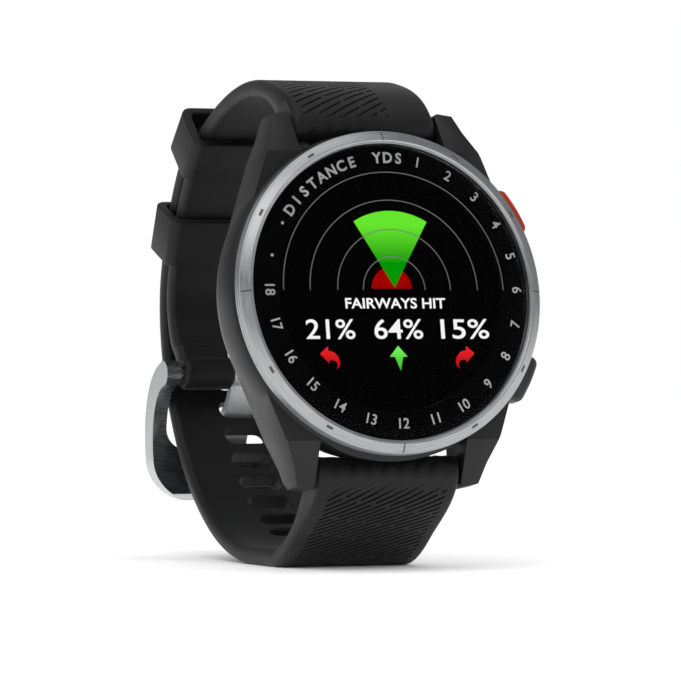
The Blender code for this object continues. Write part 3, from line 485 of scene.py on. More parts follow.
def filleted(points, reach, steps=4):
    """A closed outline with each corner rounded, starting at most reach before it."""
    rounded = []
    count = len(points)
    for i, corner in enumerate(points):
        corner = Vector(corner)
        before = Vector(points[i - 1]) - corner
        after = Vector(points[(i + 1) % count]) - corner
        start = corner + before.normalized() * min(reach, before.length * 0.45)
        end = corner + after.normalized() * min(reach, after.length * 0.45)
        for k in range(steps + 1):
            t = k / steps
            rounded.append(tuple(start * (1 - t) ** 2 + corner * 2 * t * (1 - t) + end * t * t))
    return rounded


def lathe(name, profile, steps, matrix=HEAD):
    """A closed (radius, height) profile turned about the head's axis: U goes round, V along it."""
    mesh = bpy.data.meshes.new(name)
    verts = []
    rings = []
    for radius, height in profile:
        if radius < 1e-9:
            rings.append([len(verts)] * steps)
            verts.append((0.0, 0.0, height))
        else:
            rings.append(list(range(len(verts), len(verts) + steps)))
            turns = [math.tau * k / steps for k in range(steps)]
            verts += [(radius * math.cos(a), radius * math.sin(a), height) for a in turns]
    faces = []
    places = []
    run = 0.0
    open_profile = profile[0][0] < 1e-9 and profile[-1][0] < 1e-9
    for i in range(len(profile) - (1 if open_profile else 0)):
        j = (i + 1) % len(profile)
        length = math.dist(profile[i], profile[j])
        for k in range(steps):
            k2 = (k + 1) % steps
            corners = [(rings[i][k], k, run), (rings[j][k], k, run + length),
                       (rings[j][k2], k + 1, run + length), (rings[i][k2], k + 1, run)]
            seen = []
            for corner in corners:
                if corner[0] not in [s[0] for s in seen]:
                    seen.append(corner)
            if len(seen) > 2:
                faces.append([s[0] for s in seen])
                places += [(s[1] / steps * math.tau * 20 * MM, s[2]) for s in seen]
        run += length
    mesh.from_pydata(verts, [], faces)
    layer = mesh.uv_layers.new(name="brush")
    for loop, place in zip(layer.data, places):
        loop.uv = place
    work = bmesh.new()
    work.from_mesh(mesh)
    bmesh.ops.recalc_face_normals(work, faces=work.faces)
    work.to_mesh(mesh)
    work.free()
    mesh.transform(matrix)
    return mesh


def prism(name, outline, low, high):
    """A closed (x, y) outline raised from low to high."""
    work = bmesh.new()
    bottom = [work.verts.new((x, y, low)) for x, y in outline]
    top = [work.verts.new((x, y, high)) for x, y in outline]
    work.faces.new(bottom[::-1])
    work.faces.new(top)
    for i in range(len(outline)):
        j = (i + 1) % len(outline)
        work.faces.new((bottom[i], bottom[j], top[j], top[i]))
    bmesh.ops.recalc_face_normals(work, faces=work.faces)
    mesh = bpy.data.meshes.new(name)
    work.to_mesh(mesh)
    work.free()
    return mesh


SIDE_VIEW = Matrix(((0, 0, 1, 0), (1, 0, 0, 0), (0, 1, 0, 0), (0, 0, 0, 1)))


def side_prism(name, outline, half_width):
    """A (y, z) side view widened along X."""
    mesh = prism(name, outline, -half_width, half_width)
    mesh.transform(SIDE_VIEW)
    return cleaned(mesh)


def block(size, centre=(0.0, 0.0, 0.0)):
    work = bmesh.new()
    bmesh.ops.create_cube(work, size=1.0)
    bmesh.ops.scale(work, vec=size, verts=work.verts)
    bmesh.ops.translate(work, vec=centre, verts=work.verts)
    mesh = bpy.data.meshes.new("block")
    work.to_mesh(mesh)
    work.free()
    return mesh


def rod(radius, start, end, sides=48):
    start = Vector(start)
    along = Vector(end) - start
    work = bmesh.new()
    bmesh.ops.create_cone(work, cap_ends=True, segments=sides, radius1=radius, radius2=radius,
                          depth=along.length)
    turn = along.to_track_quat("Z", "Y").to_matrix().to_4x4()
    work.transform(Matrix.Translation(start + along / 2) @ turn)
    mesh = bpy.data.meshes.new("rod")
    work.to_mesh(mesh)
    work.free()
    return mesh


def combine(obj, mesh, operation="DIFFERENCE", material=None):
    """Cut a mesh out of an object, or join it on."""
    other = link(obj.name + "_tool", mesh, *([material] if material else []))
    modifier = obj.modifiers.new("Tool", "BOOLEAN")
    modifier.operation = operation
    modifier.solver = "EXACT"
    modifier.object = other
    if material:
        modifier.material_mode = "TRANSFER"
    bake(obj)
    bpy.data.objects.remove(other)
    return obj


def round_edges(obj, width, segments=2, angle=32.0):
    modifier = obj.modifiers.new("Rounded", "BEVEL")
    modifier.width = width
    modifier.segments = segments
    modifier.limit_method = "ANGLE"
    modifier.angle_limit = math.radians(angle)
    return bake(obj)


def arc(centre, radius, start, end, count):
    return [(centre[0] + radius * math.cos(start + (end - start) * i / (count - 1)),
             centre[1] + radius * math.sin(start + (end - start) * i / (count - 1)))
            for i in range(count)]


def rounded_rectangle(half_x, half_y, radius, count=5):
    points = []
    for quarter, (sx, sy) in enumerate(((1, 1), (-1, 1), (-1, -1), (1, -1))):
        centre = (sx * (half_x - radius), sy * (half_y - radius))
        points += arc(centre, radius, quarter * math.pi / 2, (quarter + 1) * math.pi / 2, count)
    return points


def obround(half_length, radius, count=9):
    right = arc((half_length - radius, 0.0), radius, -math.pi / 2, math.pi / 2, count)
    left = arc((radius - half_length, 0.0), radius, math.pi / 2, 1.5 * math.pi, count)
    return right + left


def brush_map(mesh, along, across):
    """A UV map in metres: U follows the brushing, V crosses it."""
    layer = mesh.uv_layers.get("brush") or mesh.uv_layers.new(name="brush")
    u = Vector(along)
    v = Vector(across)
    for loop in mesh.loops:
        point = mesh.vertices[loop.vertex_index].co
        layer.data[loop.index].uv = (point.dot(u), point.dot(v))


# ---------------------------------------------------------------- strap lines


def bar_centre(side):
    """(y, z) of the spring bar at twelve (side 1) or six o'clock (side -1)."""
    point = HEAD @ Vector((0.0, side * BAR_OUT, BAR_HEIGHT))
    return (point.y, point.z)


def band_point(radius, angle):
    return (BAND_CENTRE[0] + radius * math.cos(angle), BAND_CENTRE[1] + radius * math.sin(angle))


def blend_curve(start, start_angle, start_pull, end, end_angle, end_pull, count):
    first = Vector((start[0], start[1], 0.0))
    last = Vector((end[0], end[1], 0.0))
    out = Vector((math.cos(start_angle), math.sin(start_angle), 0.0)) * start_pull
    into = Vector((math.cos(end_angle), math.sin(end_angle), 0.0)) * end_pull
    points = geometry.interpolate_bezier(first, first + out, last - into, last, count)
    return [(p.x, p.y) for p in points]


def upper_line():
    """Middle of the upper strap, from its spring bar over the top and down to the buckle."""
    radius = BAND_RADIUS - (STRAP_THICK + LAYER_GAP) / 2
    top = math.radians(47.0)
    low = math.radians(13.0)
    over = blend_curve(bar_centre(1), math.radians(50.0), 16.0 * MM, band_point(radius, top),
                       top - math.pi / 2, 2.0 * MM, 90)
    back = arc(BAND_CENTRE, radius, top, low, 40)
    bend = blend_curve(back[-1], low - math.pi / 2, 4.5 * MM, BUCKLE_AXIS, math.radians(-128.0),
                       4.0 * MM, 36)
    return over[:-1] + back[:-1] + bend


def lower_line():
    """Middle of the lower strap, from its spring bar round the foot and up to the tip."""
    radius = BAND_RADIUS + (STRAP_THICK + LAYER_GAP) / 2
    low = math.radians(14.0)
    height = STRAP_THICK / 2
    front = blend_curve(bar_centre(-1), math.radians(-72.0), 3.2 * MM, (FOOT_FRONT, height), 0.0,
                        4.0 * MM, 56)
    foot = [(FOOT_FRONT + (FOOT_BACK - FOOT_FRONT) * i / 8, height) for i in range(1, 8)]
    rise = blend_curve((FOOT_BACK, height), 0.0, 22.0 * MM, band_point(radius, low),
                       low + math.pi / 2, 14.0 * MM, 104)
    tail = arc(BAND_CENTRE, radius, low, math.radians(47.4), 48)
    return front + foot + rise[:-1] + tail


class Line:
    """A side-view line that can be asked for its point and direction at any length."""

    def __init__(self, points):
        self.points = [Vector(p) for p in points]
        self.lengths = [0.0]
        for a, b in zip(self.points, self.points[1:]):
            self.lengths.append(self.lengths[-1] + (b - a).length)
        self.headings = []
        last = len(self.points) - 1
        for i in range(len(self.points)):
            along = self.points[min(i + 1, last)] - self.points[max(i - 1, 0)]
            self.headings.append(along.normalized())

    @property
    def length(self):
        return self.lengths[-1]

    def at(self, along):
        if along <= 0.0:
            return self.points[0] + self.headings[0] * along, self.headings[0]
        if along >= self.length:
            return self.points[-1] + self.headings[-1] * (along - self.length), self.headings[-1]
        low = 0
        high = len(self.lengths) - 1
        while high - low > 1:
            middle = (low + high) // 2
            if self.lengths[middle] <= along:
                low = middle
            else:
                high = middle
        share = (along - self.lengths[low]) / (self.lengths[high] - self.lengths[low])
        heading = self.headings[low].lerp(self.headings[high], share).normalized()
        return self.points[low].lerp(self.points[high], share), heading


def slot_in_use(line):
    """How far along the lower strap the tongue goes through."""
    for i, (here, after) in enumerate(zip(line.points, line.points[1:])):
        if here.y < SLOT_IN_USE_HEIGHT <= after.y and here.x > 0.0:
            share = (SLOT_IN_USE_HEIGHT - here.y) / (after.y - here.y)
            return line.lengths[i] + share * (after - here).length
    raise ValueError("the lower strap never reaches the tongue")


def step(low, high, value):
    """Smooth rise from 0 to 1."""
    t = min(1.0, max(0.0, (value - low) / (high - low)))
    return t * t * (3 - 2 * t)


# ---------------------------------------------------------------- geometry node trees


def new_tree(name, inputs):
    """A geometry tree with one geometry in and out, and the named inputs."""
    tree = bpy.data.node_groups.new(name, "GeometryNodeTree")
    tree.is_modifier = True
    tree.interface.new_socket("Geometry", in_out="OUTPUT", socket_type="NodeSocketGeometry")
    tree.interface.new_socket("Geometry", in_out="INPUT", socket_type="NodeSocketGeometry")
    for label, kind in inputs:
        tree.interface.new_socket(label, in_out="INPUT", socket_type="NodeSocket" + kind)
    return tree, add_node(tree, "NodeGroupInput")


def end_tree(tree, geometry_socket, material_socket):
    real = add_node(tree, "GeometryNodeRealizeInstances", {"Geometry": geometry_socket})
    painted = add_node(tree, "GeometryNodeSetMaterial", {"Geometry": real.outputs["Geometry"],
                                                         "Material": material_socket})
    add_node(tree, "NodeGroupOutput", {"Geometry": painted.outputs["Geometry"]})
    return tree


def grown(obj, tree, **values):
    """Run a tree on an object with its named inputs, keep the mesh and drop the modifier."""
    modifier = obj.modifiers.new("Grown", "NODES")
    modifier.node_group = tree
    for item in tree.interface.items_tree:
        key = item.name.lower().replace(" ", "_")
        if item.in_out == "INPUT" and key in values:
            modifier[item.identifier] = values[key]
    return bake(obj)


def sums(tree, values, steps):
    """Chain arithmetic: each step names its result, the operation and two values."""
    for result, operation, a, b in steps:
        made = add_node(tree, "ShaderNodeMath", {0: values.get(a, a), 1: values.get(b, b)},
                        operation=operation)
        values[result] = made.outputs["Value"]
    return values


def groove_tree():
    """Sink slanted grooves into the outer face of a strap: by turns one whole and one in dashes."""
    names = ["Pitch", "Width", "Depth", "Period", "Gap", "Left", "Right"]
    tree, group = new_tree("Moulded grooves", [(n, "Float") for n in names]
                           + [("Material", "Material")])
    values = {n.lower(): group.outputs[n] for n in names}
    for field in ("row", "across", "outer", "fade"):
        read = add_node(tree, "GeometryNodeInputNamedAttribute", {"Name": field},
                        data_type="FLOAT")
        values[field] = read.outputs["Attribute"]
    out = add_node(tree, "GeometryNodeInputNamedAttribute", {"Name": "out"},
                   data_type="FLOAT_VECTOR")
    edge = 0.04 * MM
    sums(tree, values, (
        ("rows", "DIVIDE", "row", "pitch"),
        ("number", "FLOOR", "rows", 0.0),
        ("share", "SUBTRACT", "rows", "number"),
        ("local", "MULTIPLY", "share", "pitch"),
        ("near", "MULTIPLY", "width", 0.2),
        ("far", "MULTIPLY", "width", 0.8),
        ("past_near", "GREATER_THAN", "local", "near"),
        ("before_far", "LESS_THAN", "local", "far"),
        ("parity", "FLOORED_MODULO", "number", 2.0),
        ("halved", "MULTIPLY", "number", 0.5),
        ("pair", "FLOOR", "halved", 0.0),
        ("brick", "FLOORED_MODULO", "pair", 2.0),
        ("half", "MULTIPLY", "brick", 0.5),
        ("reach", "SUBTRACT", "across", "left"),
        ("dashes", "DIVIDE", "reach", "period"),
        ("shifted", "SUBTRACT", "dashes", "half"),
        ("whole", "FLOOR", "shifted", 0.0),
        ("part", "SUBTRACT", "shifted", "whole"),
        ("from_gap", "MULTIPLY", "part", "period"),
        ("to_gap", "SUBTRACT", "period", "from_gap"),
        ("nearest", "MINIMUM", "from_gap", "to_gap"),
        ("half_gap", "MULTIPLY", "gap", 0.5),
        ("gap_edge", "ADD", "half_gap", edge),
        ("past_gap", "GREATER_THAN", "nearest", "gap_edge"),
        ("in_dash", "MAXIMUM", "past_gap", "parity"),
        ("left_edge", "ADD", "left", edge),
        ("right_edge", "SUBTRACT", "right", edge),
        ("past_left", "GREATER_THAN", "across", "left_edge"),
        ("before_right", "LESS_THAN", "across", "right_edge"),
        ("m1", "MULTIPLY", "past_near", "before_far"),
        ("m2", "MULTIPLY", "in_dash", "outer"),
        ("m3", "MULTIPLY", "past_left", "before_right"),
        ("m4", "MULTIPLY", "m1", "m2"),
        ("m5", "MULTIPLY", "m3", "fade"),
        ("mask", "MULTIPLY", "m4", "m5"),
        ("sunk", "MULTIPLY", "mask", "depth"),
        ("inward", "MULTIPLY", "sunk", -1.0),
    ))
    push = add_node(tree, "ShaderNodeVectorMath", {0: out.outputs["Attribute"],
                                                   "Scale": values["inward"]}, operation="SCALE")
    moved = add_node(tree, "GeometryNodeSetPosition", {"Geometry": group.outputs["Geometry"],
                                                       "Offset": push.outputs["Vector"]})
    return end_tree(tree, moved.outputs["Geometry"], group.outputs["Material"])


def ring_tree():
    """Stand copies of a piece round the Z axis, each turned to face out."""
    tree, group = new_tree("Ring of pieces", [("Piece", "Object"), ("Count", "Int"),
                                              ("Radius", "Float"), ("First Angle", "Float"),
                                              ("Material", "Material")])
    piece = add_node(tree, "GeometryNodeObjectInfo", {"Object": group.outputs["Piece"]})
    number = add_node(tree, "GeometryNodeInputIndex")
    values = {"number": number.outputs["Index"], "count": group.outputs["Count"],
              "first": group.outputs["First Angle"], "radius": group.outputs["Radius"]}
    sums(tree, values, (
        ("step", "DIVIDE", math.tau, "count"),
        ("turn", "MULTIPLY", "number", "step"),
        ("angle", "ADD", "turn", "first"),
        ("cos", "COSINE", "angle", 0.0),
        ("sin", "SINE", "angle", 0.0),
        ("x", "MULTIPLY", "cos", "radius"),
        ("y", "MULTIPLY", "sin", "radius"),
    ))
    place = add_node(tree, "ShaderNodeCombineXYZ", {"X": values["x"], "Y": values["y"]})
    points = add_node(tree, "GeometryNodePoints", {"Count": group.outputs["Count"],
                                                   "Position": place.outputs["Vector"]})
    turn = add_node(tree, "ShaderNodeCombineXYZ", {"Z": values["angle"]})
    spin = add_node(tree, "FunctionNodeEulerToRotation", {"Euler": turn.outputs["Vector"]})
    copies = add_node(tree, "GeometryNodeInstanceOnPoints", {
        "Points": points.outputs["Points"], "Instance": piece.outputs["Geometry"],
        "Rotation": spin.outputs["Rotation"]})
    return end_tree(tree, copies.outputs["Instances"], group.outputs["Material"])


def row_tree():
    """Stand copies of a piece along a side-view line at an even pitch, each square to it."""
    tree, group = new_tree("Row along a line", [("Piece", "Object"), ("Count", "Int"),
                                                ("Start", "Float"), ("Pitch", "Float"),
                                                ("Material", "Material")])
    piece = add_node(tree, "GeometryNodeObjectInfo", {"Object": group.outputs["Piece"]})
    curve = add_node(tree, "GeometryNodeMeshToCurve", {"Mesh": group.outputs["Geometry"]})
    number = add_node(tree, "GeometryNodeInputIndex")
    values = {"number": number.outputs["Index"], "start": group.outputs["Start"],
              "pitch": group.outputs["Pitch"]}
    sums(tree, values, (("run", "MULTIPLY", "number", "pitch"), ("along", "ADD", "run", "start")))
    sample = add_node(tree, "GeometryNodeSampleCurve", {"Curves": curve.outputs["Curve"]},
                      mode="LENGTH")
    tree.links.new(values["along"], sample.inputs["Length"])
    points = add_node(tree, "GeometryNodePoints", {"Count": group.outputs["Count"],
                                                   "Position": sample.outputs["Position"]})
    aim = add_node(tree, "FunctionNodeAxesToRotation", primary_axis="Y", secondary_axis="X")
    tree.links.new(sample.outputs["Tangent"], aim.inputs["Primary Axis"])
    aim.inputs["Secondary Axis"].default_value = (1.0, 0.0, 0.0)
    copies = add_node(tree, "GeometryNodeInstanceOnPoints", {
        "Points": points.outputs["Points"], "Instance": piece.outputs["Geometry"],
        "Rotation": aim.outputs["Rotation"]})
    return end_tree(tree, copies.outputs["Instances"], group.outputs["Material"])


def ring_of(piece_mesh, material, count, radius, first_angle):
    """The mesh of copies stood round the head's axis, in the head's frame."""
    piece = link("ring_piece", piece_mesh, material)
    carrier = link("ring_carrier", bpy.data.meshes.new("ring_carrier"), material)
    grown(carrier, ring_tree(), piece=piece, count=count, radius=radius, first_angle=first_angle,
          material=material)
    mesh = carrier.data
    bpy.data.objects.remove(piece)
    bpy.data.objects.remove(carrier)
    return mesh


def row_of(piece_mesh, material, line, count, start, pitch):
    """The mesh of copies stood along a side-view line."""
    piece = link("row_piece", piece_mesh, material)
    path = bpy.data.meshes.new("row_path")
    path.from_pydata([(0.0, p.x, p.y) for p in line.points],
                     [(i, i + 1) for i in range(len(line.points) - 1)], [])
    carrier = link("row_carrier", path, material)
    grown(carrier, row_tree(), piece=piece, count=count, start=start, pitch=pitch,
          material=material)
    mesh = carrier.data
    bpy.data.objects.remove(piece)
    bpy.data.objects.remove(carrier)
    return mesh


# ---------------------------------------------------------------- the strap's own mesh


def groove_columns(left, right, settings):
    """Positions across the strap at which a dash starts or stops sinking."""
    ramp = 0.09 * MM
    columns = {left, left + ramp, right - ramp, right}
    half = settings.dash_gap / 2
    count = int((right - left) / settings.dash_period * 2) + 2
    for k in range(count):
        centre = left + k * settings.dash_period / 2
        for x in (centre - half - ramp, centre - half, centre + half, centre + half + ramp):
            if left + ramp * 1.5 < x < right - ramp * 1.5:
                columns.add(x)
    kept = []
    for x in sorted(columns):
        if not kept or x - kept[-1] > 0.02 * MM:
            kept.append(x)
    return kept


def strap_tube(name, line, rows, half_thick, half_width, left, right, lean, fade, settings):
    """A closed tube round a side-view line, whose rows lean with the moulded grooves.

    half_thick(s) gives the outer and inner half thickness, half_width(s) the half width, lean(r)
    how far a row at r leans, as length along the strap for each length across it, and fade(s) how
    much of its depth a groove has at s. Rows that lean past the rolled end are held at its end."""
    corner = settings.edge_radius
    flat = STRAP_WIDTH / 2 - corner
    edge_columns = [-flat, (-flat + left) / 2] if left > -flat + 0.4 * MM else [-flat]
    outer = edge_columns + groove_columns(left, right, settings)
    if right < flat - 0.4 * MM:
        gap = flat - right
        outer += [right + gap * k / 4 for k in range(1, 4)]
    outer.append(flat)
    inner = [flat - 2 * flat * k / 10 for k in range(11)]
    turn = [math.radians(a) for a in (67.5, 45.0, 22.5)]
    ring = [(x, 0.0, 1.0, 1, 0.0) for x in outer]
    ring += [(flat, math.cos(a), math.sin(a), 0, 1.0) for a in turn] + [(flat, 1.0, 0.0, 0, 1.0)]
    ring += [(flat, math.cos(a), -math.sin(a), 0, 1.0) for a in turn[::-1]]
    ring += [(x, 0.0, -1.0, -1, 0.0) for x in inner]
    ring += [(-flat, -math.cos(a), -math.sin(a), 0, 1.0) for a in turn]
    ring += [(-flat, -1.0, 0.0, 0, 1.0)]
    ring += [(-flat, -math.cos(a), math.sin(a), 0, 1.0) for a in turn[::-1]]
    centre = (left + right) / 2
    verts = []
    marks = {"row": [], "across": [], "outer": [], "fade": [], "out": []}
    for r in rows:
        for x, cos, sin, face, at_corner in ring:
            s = max(r + lean(r) * (min(max(x, left), right) - centre), -ROLL_RADIUS)
            thick_out, thick_in = half_thick(s)
            half = half_width(s)
            scale = max(half - corner, 0.0) / flat
            round_x = min(corner, half)
            side = thick_out if sin >= 0 else thick_in
            round_z = min(corner, side)
            across = x * scale + cos * round_x
            offset = side * sin
            if at_corner:
                offset = (side - round_z + abs(sin) * round_z) * (1 if sin >= 0 else -1)
            if at_corner and sin == 0.0:
                flats = thick_out - min(corner, thick_out) - thick_in + min(corner, thick_in)
                offset = flats / 2
            point, heading = line.at(s)
            out = OUTWARD[name] * Vector((heading.y, -heading.x))
            verts.append((across, point.x + out.x * offset, point.y + out.y * offset))
            marks["row"].append(r)
            marks["across"].append(x)
            marks["outer"].append(1.0 if face == 1 else 0.0)
            marks["fade"].append(fade(s))
            marks["out"] += [0.0, out.x, out.y]
    count = len(ring)
    faces = []
    for i in range(len(rows) - 1):
        for k in range(count):
            k2 = (k + 1) % count
            here = i * count
            faces.append((here + k, here + k2, here + count + k2, here + count + k))
    mesh = bpy.data.meshes.new(name)
    mesh.from_pydata(verts, [], faces)
    for field in ("row", "across", "outer", "fade"):
        mesh.attributes.new(field, "FLOAT", "POINT").data.foreach_set("value", marks[field])
    mesh.attributes.new("out", "FLOAT_VECTOR", "POINT").data.foreach_set("vector", marks["out"])
    return cleaned(mesh, 2e-6)


# The outer face is left of the upper line's direction and right of the lower line's.
OUTWARD = {"upper_strap_moulding": -1.0, "lower_strap_moulding": 1.0}


def groove_rows(start, end, pitch, width):
    """Rows at which each groove starts, sinks, rises and ends, with one on the land between."""
    rows = []
    for number in range(math.ceil(start / pitch), math.floor((end - width) / pitch) + 1):
        base = number * pitch
        rows += [base, base + width * 0.25, base + width * 0.75, base + width,
                 base + (width + pitch) / 2]
    return rows


def groove_fade(start, end):
    """Grooves run out to nothing at both ends of the pattern."""
    return lambda s: step(start, start + 1.4 * MM, s) * (1 - step(end - 1.4 * MM, end, s))


def even_rows(start, end, spacing):
    count = max(1, round((end - start) / spacing))
    return [start + (end - start) * k / count for k in range(1, count)]


def lever_window(side):
    """Window through the roll's wrist side, as long as the release lever's travel."""
    window = block((1.5 * MM + PIN_TRAVEL + 0.7 * MM, 1.7 * MM, 4.0 * MM),
                   (LEVER_X + PIN_TRAVEL / 2, 0.0, -2.0 * MM))
    window.transform(Matrix.Translation((0.0, *bar_centre(side))) @ HEAD_TURN)
    return window


def drop_marks(mesh):
    for field in ("row", "across", "outer", "fade", "out"):
        if field in mesh.attributes:
            mesh.attributes.remove(mesh.attributes[field])


def make_upper_strap():
    settings = bpy.context.scene.watch_strap
    line = Line(upper_line())
    length = line.length
    name = "upper_strap_moulding"
    left = -8.9 * MM
    right = 3.6 * MM
    start = -0.6 * MM
    end = length - 9.0 * MM
    half = STRAP_THICK / 2

    def half_thick(s):
        if s < 0.0:
            near = math.sqrt(max(ROLL_RADIUS ** 2 - s * s, 0.0))
            return near, near
        if s > length:
            far = math.sqrt(max(BUCKLE_ROLL_RADIUS ** 2 - (s - length) ** 2, 0.0))
            return far, far
        bar = (ROLL_RADIUS - half) * (1 - step(0.0, TAPER_LENGTH, s))
        # The end is folded over the buckle bar: a step on the wrist side, then the roll.
        fold = 0.4 * MM * step(length - 4.3 * MM, length - 3.8 * MM, s)
        roll = math.sqrt(max(BUCKLE_ROLL_RADIUS ** 2 - (length - s) ** 2, 0.0)) - half
        bulge = max(roll, 0.0)
        return half + bar + bulge, half + bar + max(fold, bulge)

    def half_width(s):
        return STRAP_WIDTH / 2 - 0.3 * MM * step(length - 5.0 * MM, length - 3.0 * MM, s)

    slant = math.tan(settings.slant)

    def lean(r):
        return slant * (1 - step(end - 5.0 * MM, end + 4.0 * MM, r))

    grooved = groove_rows(-ROLL_RADIUS - slant * STRAP_WIDTH / 2, end, settings.groove_pitch,
                          settings.groove_width)
    rows = list(grooved)
    rows += even_rows(grooved[-1], length - 4.5 * MM, 0.8 * MM)
    rows += [length - s * MM for s in (4.35, 4.2, 4.05, 3.9, 3.75, 3.2, 2.7)]
    rows += [length - BUCKLE_ROLL_RADIUS * math.cos(math.pi / 2 * k / 9) for k in range(0, 9)]
    rows += [length + BUCKLE_ROLL_RADIUS * math.sin(math.pi / 2 * k / 9) for k in range(0, 10)]
    mesh = strap_tube(name, line, sorted(rows), half_thick, half_width, left, right, lean,
                      groove_fade(start, end), settings)
    strap = link(name, mesh, finish("silicone"))
    grown(strap, groove_tree(), pitch=settings.groove_pitch, width=settings.groove_width,
          depth=settings.groove_depth, period=settings.dash_period, gap=settings.dash_gap,
          left=left, right=right, material=finish("silicone"))
    combine(strap, rod(BUCKLE_BAR_RADIUS + STRAP_BAR_CLEARANCE, (-STRAP_WIDTH, *BUCKLE_AXIS),
                       (STRAP_WIDTH, *BUCKLE_AXIS), 32))
    notch = prism("notch", rounded_rectangle(2.8 * MM, 4.3 * MM, 0.8 * MM), -4 * MM, 4 * MM)
    notch.transform(Matrix.Translation((0.0, BUCKLE_AXIS[0], BUCKLE_AXIS[1] - 0.8 * MM))
                    @ Matrix.Rotation(math.pi / 2, 4, "X"))
    combine(strap, notch)
    combine(strap, rod(BAR_RADIUS + STRAP_BAR_CLEARANCE, (-STRAP_WIDTH, *bar_centre(1)),
                       (STRAP_WIDTH, *bar_centre(1)), 32))
    combine(strap, lever_window(1))
    drop_marks(strap.data)
    soften(strap)
    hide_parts("upper_strap")
    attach(strap, "upper_strap")


def slot_cutter():
    """An obround cutter whose ends flare, so that each slot gets a small chamfer at both faces."""
    flare = 0.22 * MM
    face = STRAP_THICK / 2
    levels = [(-4.0 * MM, flare), (-face - 0.02 * MM, flare), (-face + flare, 0.0),
              (face - flare, 0.0), (face + 0.02 * MM, flare), (4.0 * MM, flare)]
    work = bmesh.new()
    loops = []
    for height, grow in levels:
        outline = obround(SLOT_WIDTH / 2 + grow, SLOT_HEIGHT / 2 + grow)
        loops.append([work.verts.new((x, y, height)) for x, y in outline])
    for low, high in zip(loops, loops[1:]):
        for i in range(len(low)):
            j = (i + 1) % len(low)
            work.faces.new((low[i], low[j], high[j], high[i]))
    work.faces.new(loops[0][::-1])
    work.faces.new(loops[-1])
    bmesh.ops.recalc_face_normals(work, faces=work.faces)
    mesh = bpy.data.meshes.new("slot_cutter")
    work.to_mesh(mesh)
    work.free()
    return mesh


def make_lower_strap():
    settings = bpy.context.scene.watch_strap
    line = Line(lower_line())
    length = line.length
    name = "lower_strap_moulding"
    left = -8.2 * MM
    right = 8.4 * MM
    first_slot = slot_in_use(line) - SLOTS_BELOW * SLOT_PITCH
    start = 0.2 * MM
    end = first_slot - 3.0 * MM
    half = STRAP_THICK / 2
    corner = 5.0 * MM

    def half_thick(s):
        if s < 0.0:
            near = math.sqrt(max(ROLL_RADIUS ** 2 - s * s, 0.0))
            return near, near
        bar = (ROLL_RADIUS - half) * (1 - step(0.0, TAPER_LENGTH, s))
        tip = 1.0 - step(length - 1.1 * MM, length, s) if s > length - 1.1 * MM else 1.0
        tip = math.sqrt(max(tip, 0.0))
        return (half + bar) * tip, (half + bar) * tip

    def half_width(s):
        into = s - (length - corner)
        if into <= 0.0:
            return STRAP_WIDTH / 2
        return STRAP_WIDTH / 2 - corner + math.sqrt(max(corner ** 2 - into ** 2, 0.0))

    slant = -math.tan(settings.slant)

    def lean(r):
        return slant * (1 - step(end - 4.0 * MM, end + 8.0 * MM, r))

    grooved = groove_rows(-ROLL_RADIUS + slant * STRAP_WIDTH / 2, end,
                          settings.lower_groove_pitch, settings.groove_width)
    rows = list(grooved)
    rows += even_rows(grooved[-1], length - corner, 0.9 * MM)
    rows += [length - corner + corner * math.sin(math.pi / 2 * k / 14) for k in range(15)]
    mesh = strap_tube(name, line, sorted(rows), half_thick, half_width, left, right, lean,
                      groove_fade(start, end), settings)
    strap = link(name, mesh, finish("silicone"))
    grown(strap, groove_tree(), pitch=settings.lower_groove_pitch, width=settings.groove_width,
          depth=settings.groove_depth, period=settings.dash_period, gap=settings.dash_gap,
          left=left, right=right, material=finish("silicone"))
    combine(strap, row_of(slot_cutter(), finish("silicone"), line, SLOTS_BELOW + SLOTS_ABOVE + 1,
                          first_slot, SLOT_PITCH))
    combine(strap, rod(BAR_RADIUS + STRAP_BAR_CLEARANCE, (-STRAP_WIDTH, *bar_centre(-1)),
                       (STRAP_WIDTH, *bar_centre(-1)), 32))
    combine(strap, lever_window(-1))
    drop_marks(strap.data)
    soften(strap)
    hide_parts("lower_strap")
    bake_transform(strap)


def make_keeper(name, angle):
    """A flat-sided loop round both strap layers, its rims rounded."""
    inner_x = STRAP_WIDTH / 2 + KEEPER_CLEARANCE
    inner_y = STRAP_THICK + LAYER_GAP / 2 + KEEPER_CLEARANCE
    outer = rounded_rectangle(inner_x + KEEPER_WALL, inner_y + KEEPER_WALL, 1.5 * MM, 9)
    inner = rounded_rectangle(inner_x, inner_y, 0.6 * MM, 5)
    half = KEEPER_LENGTH / 2
    keeper = link(name + "_moulding", prism(name, outer, -half, half), finish("silicone"))
    combine(keeper, prism("hole", inner, -2 * half, 2 * half))
    round_edges(keeper, 0.3 * MM, 3)
    out = (math.cos(angle), math.sin(angle))
    centre = band_point(BAND_RADIUS, angle)
    keeper.data.transform(Matrix(((1, 0, 0, 0), (0, out[0], -out[1], centre[0]),
                                  (0, out[1], out[0], centre[1]), (0, 0, 0, 1))))
    soften(keeper)
    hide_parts(name)
    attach(keeper, name)


# ---------------------------------------------------------------- buckle


def swept(line, thickness_at, count):
    """Closed side-view outline of a band of changing thickness along a line."""
    right = []
    left = []
    for k in range(count + 1):
        along = line.length * k / count
        point, heading = line.at(along)
        half = thickness_at(along) / 2
        normal = Vector((heading.y, -heading.x))
        right.append(tuple(point + normal * half))
        left.append(tuple(point - normal * half))
    return right + left[::-1]


def buckle_line():
    y, z = BUCKLE_AXIS
    return Line(blend_curve((y, z), math.radians(-15.0), 5.5 * MM, (y + 3.6 * MM, z - 17.2 * MM),
                            math.radians(-112.0), 9.0 * MM, 60))


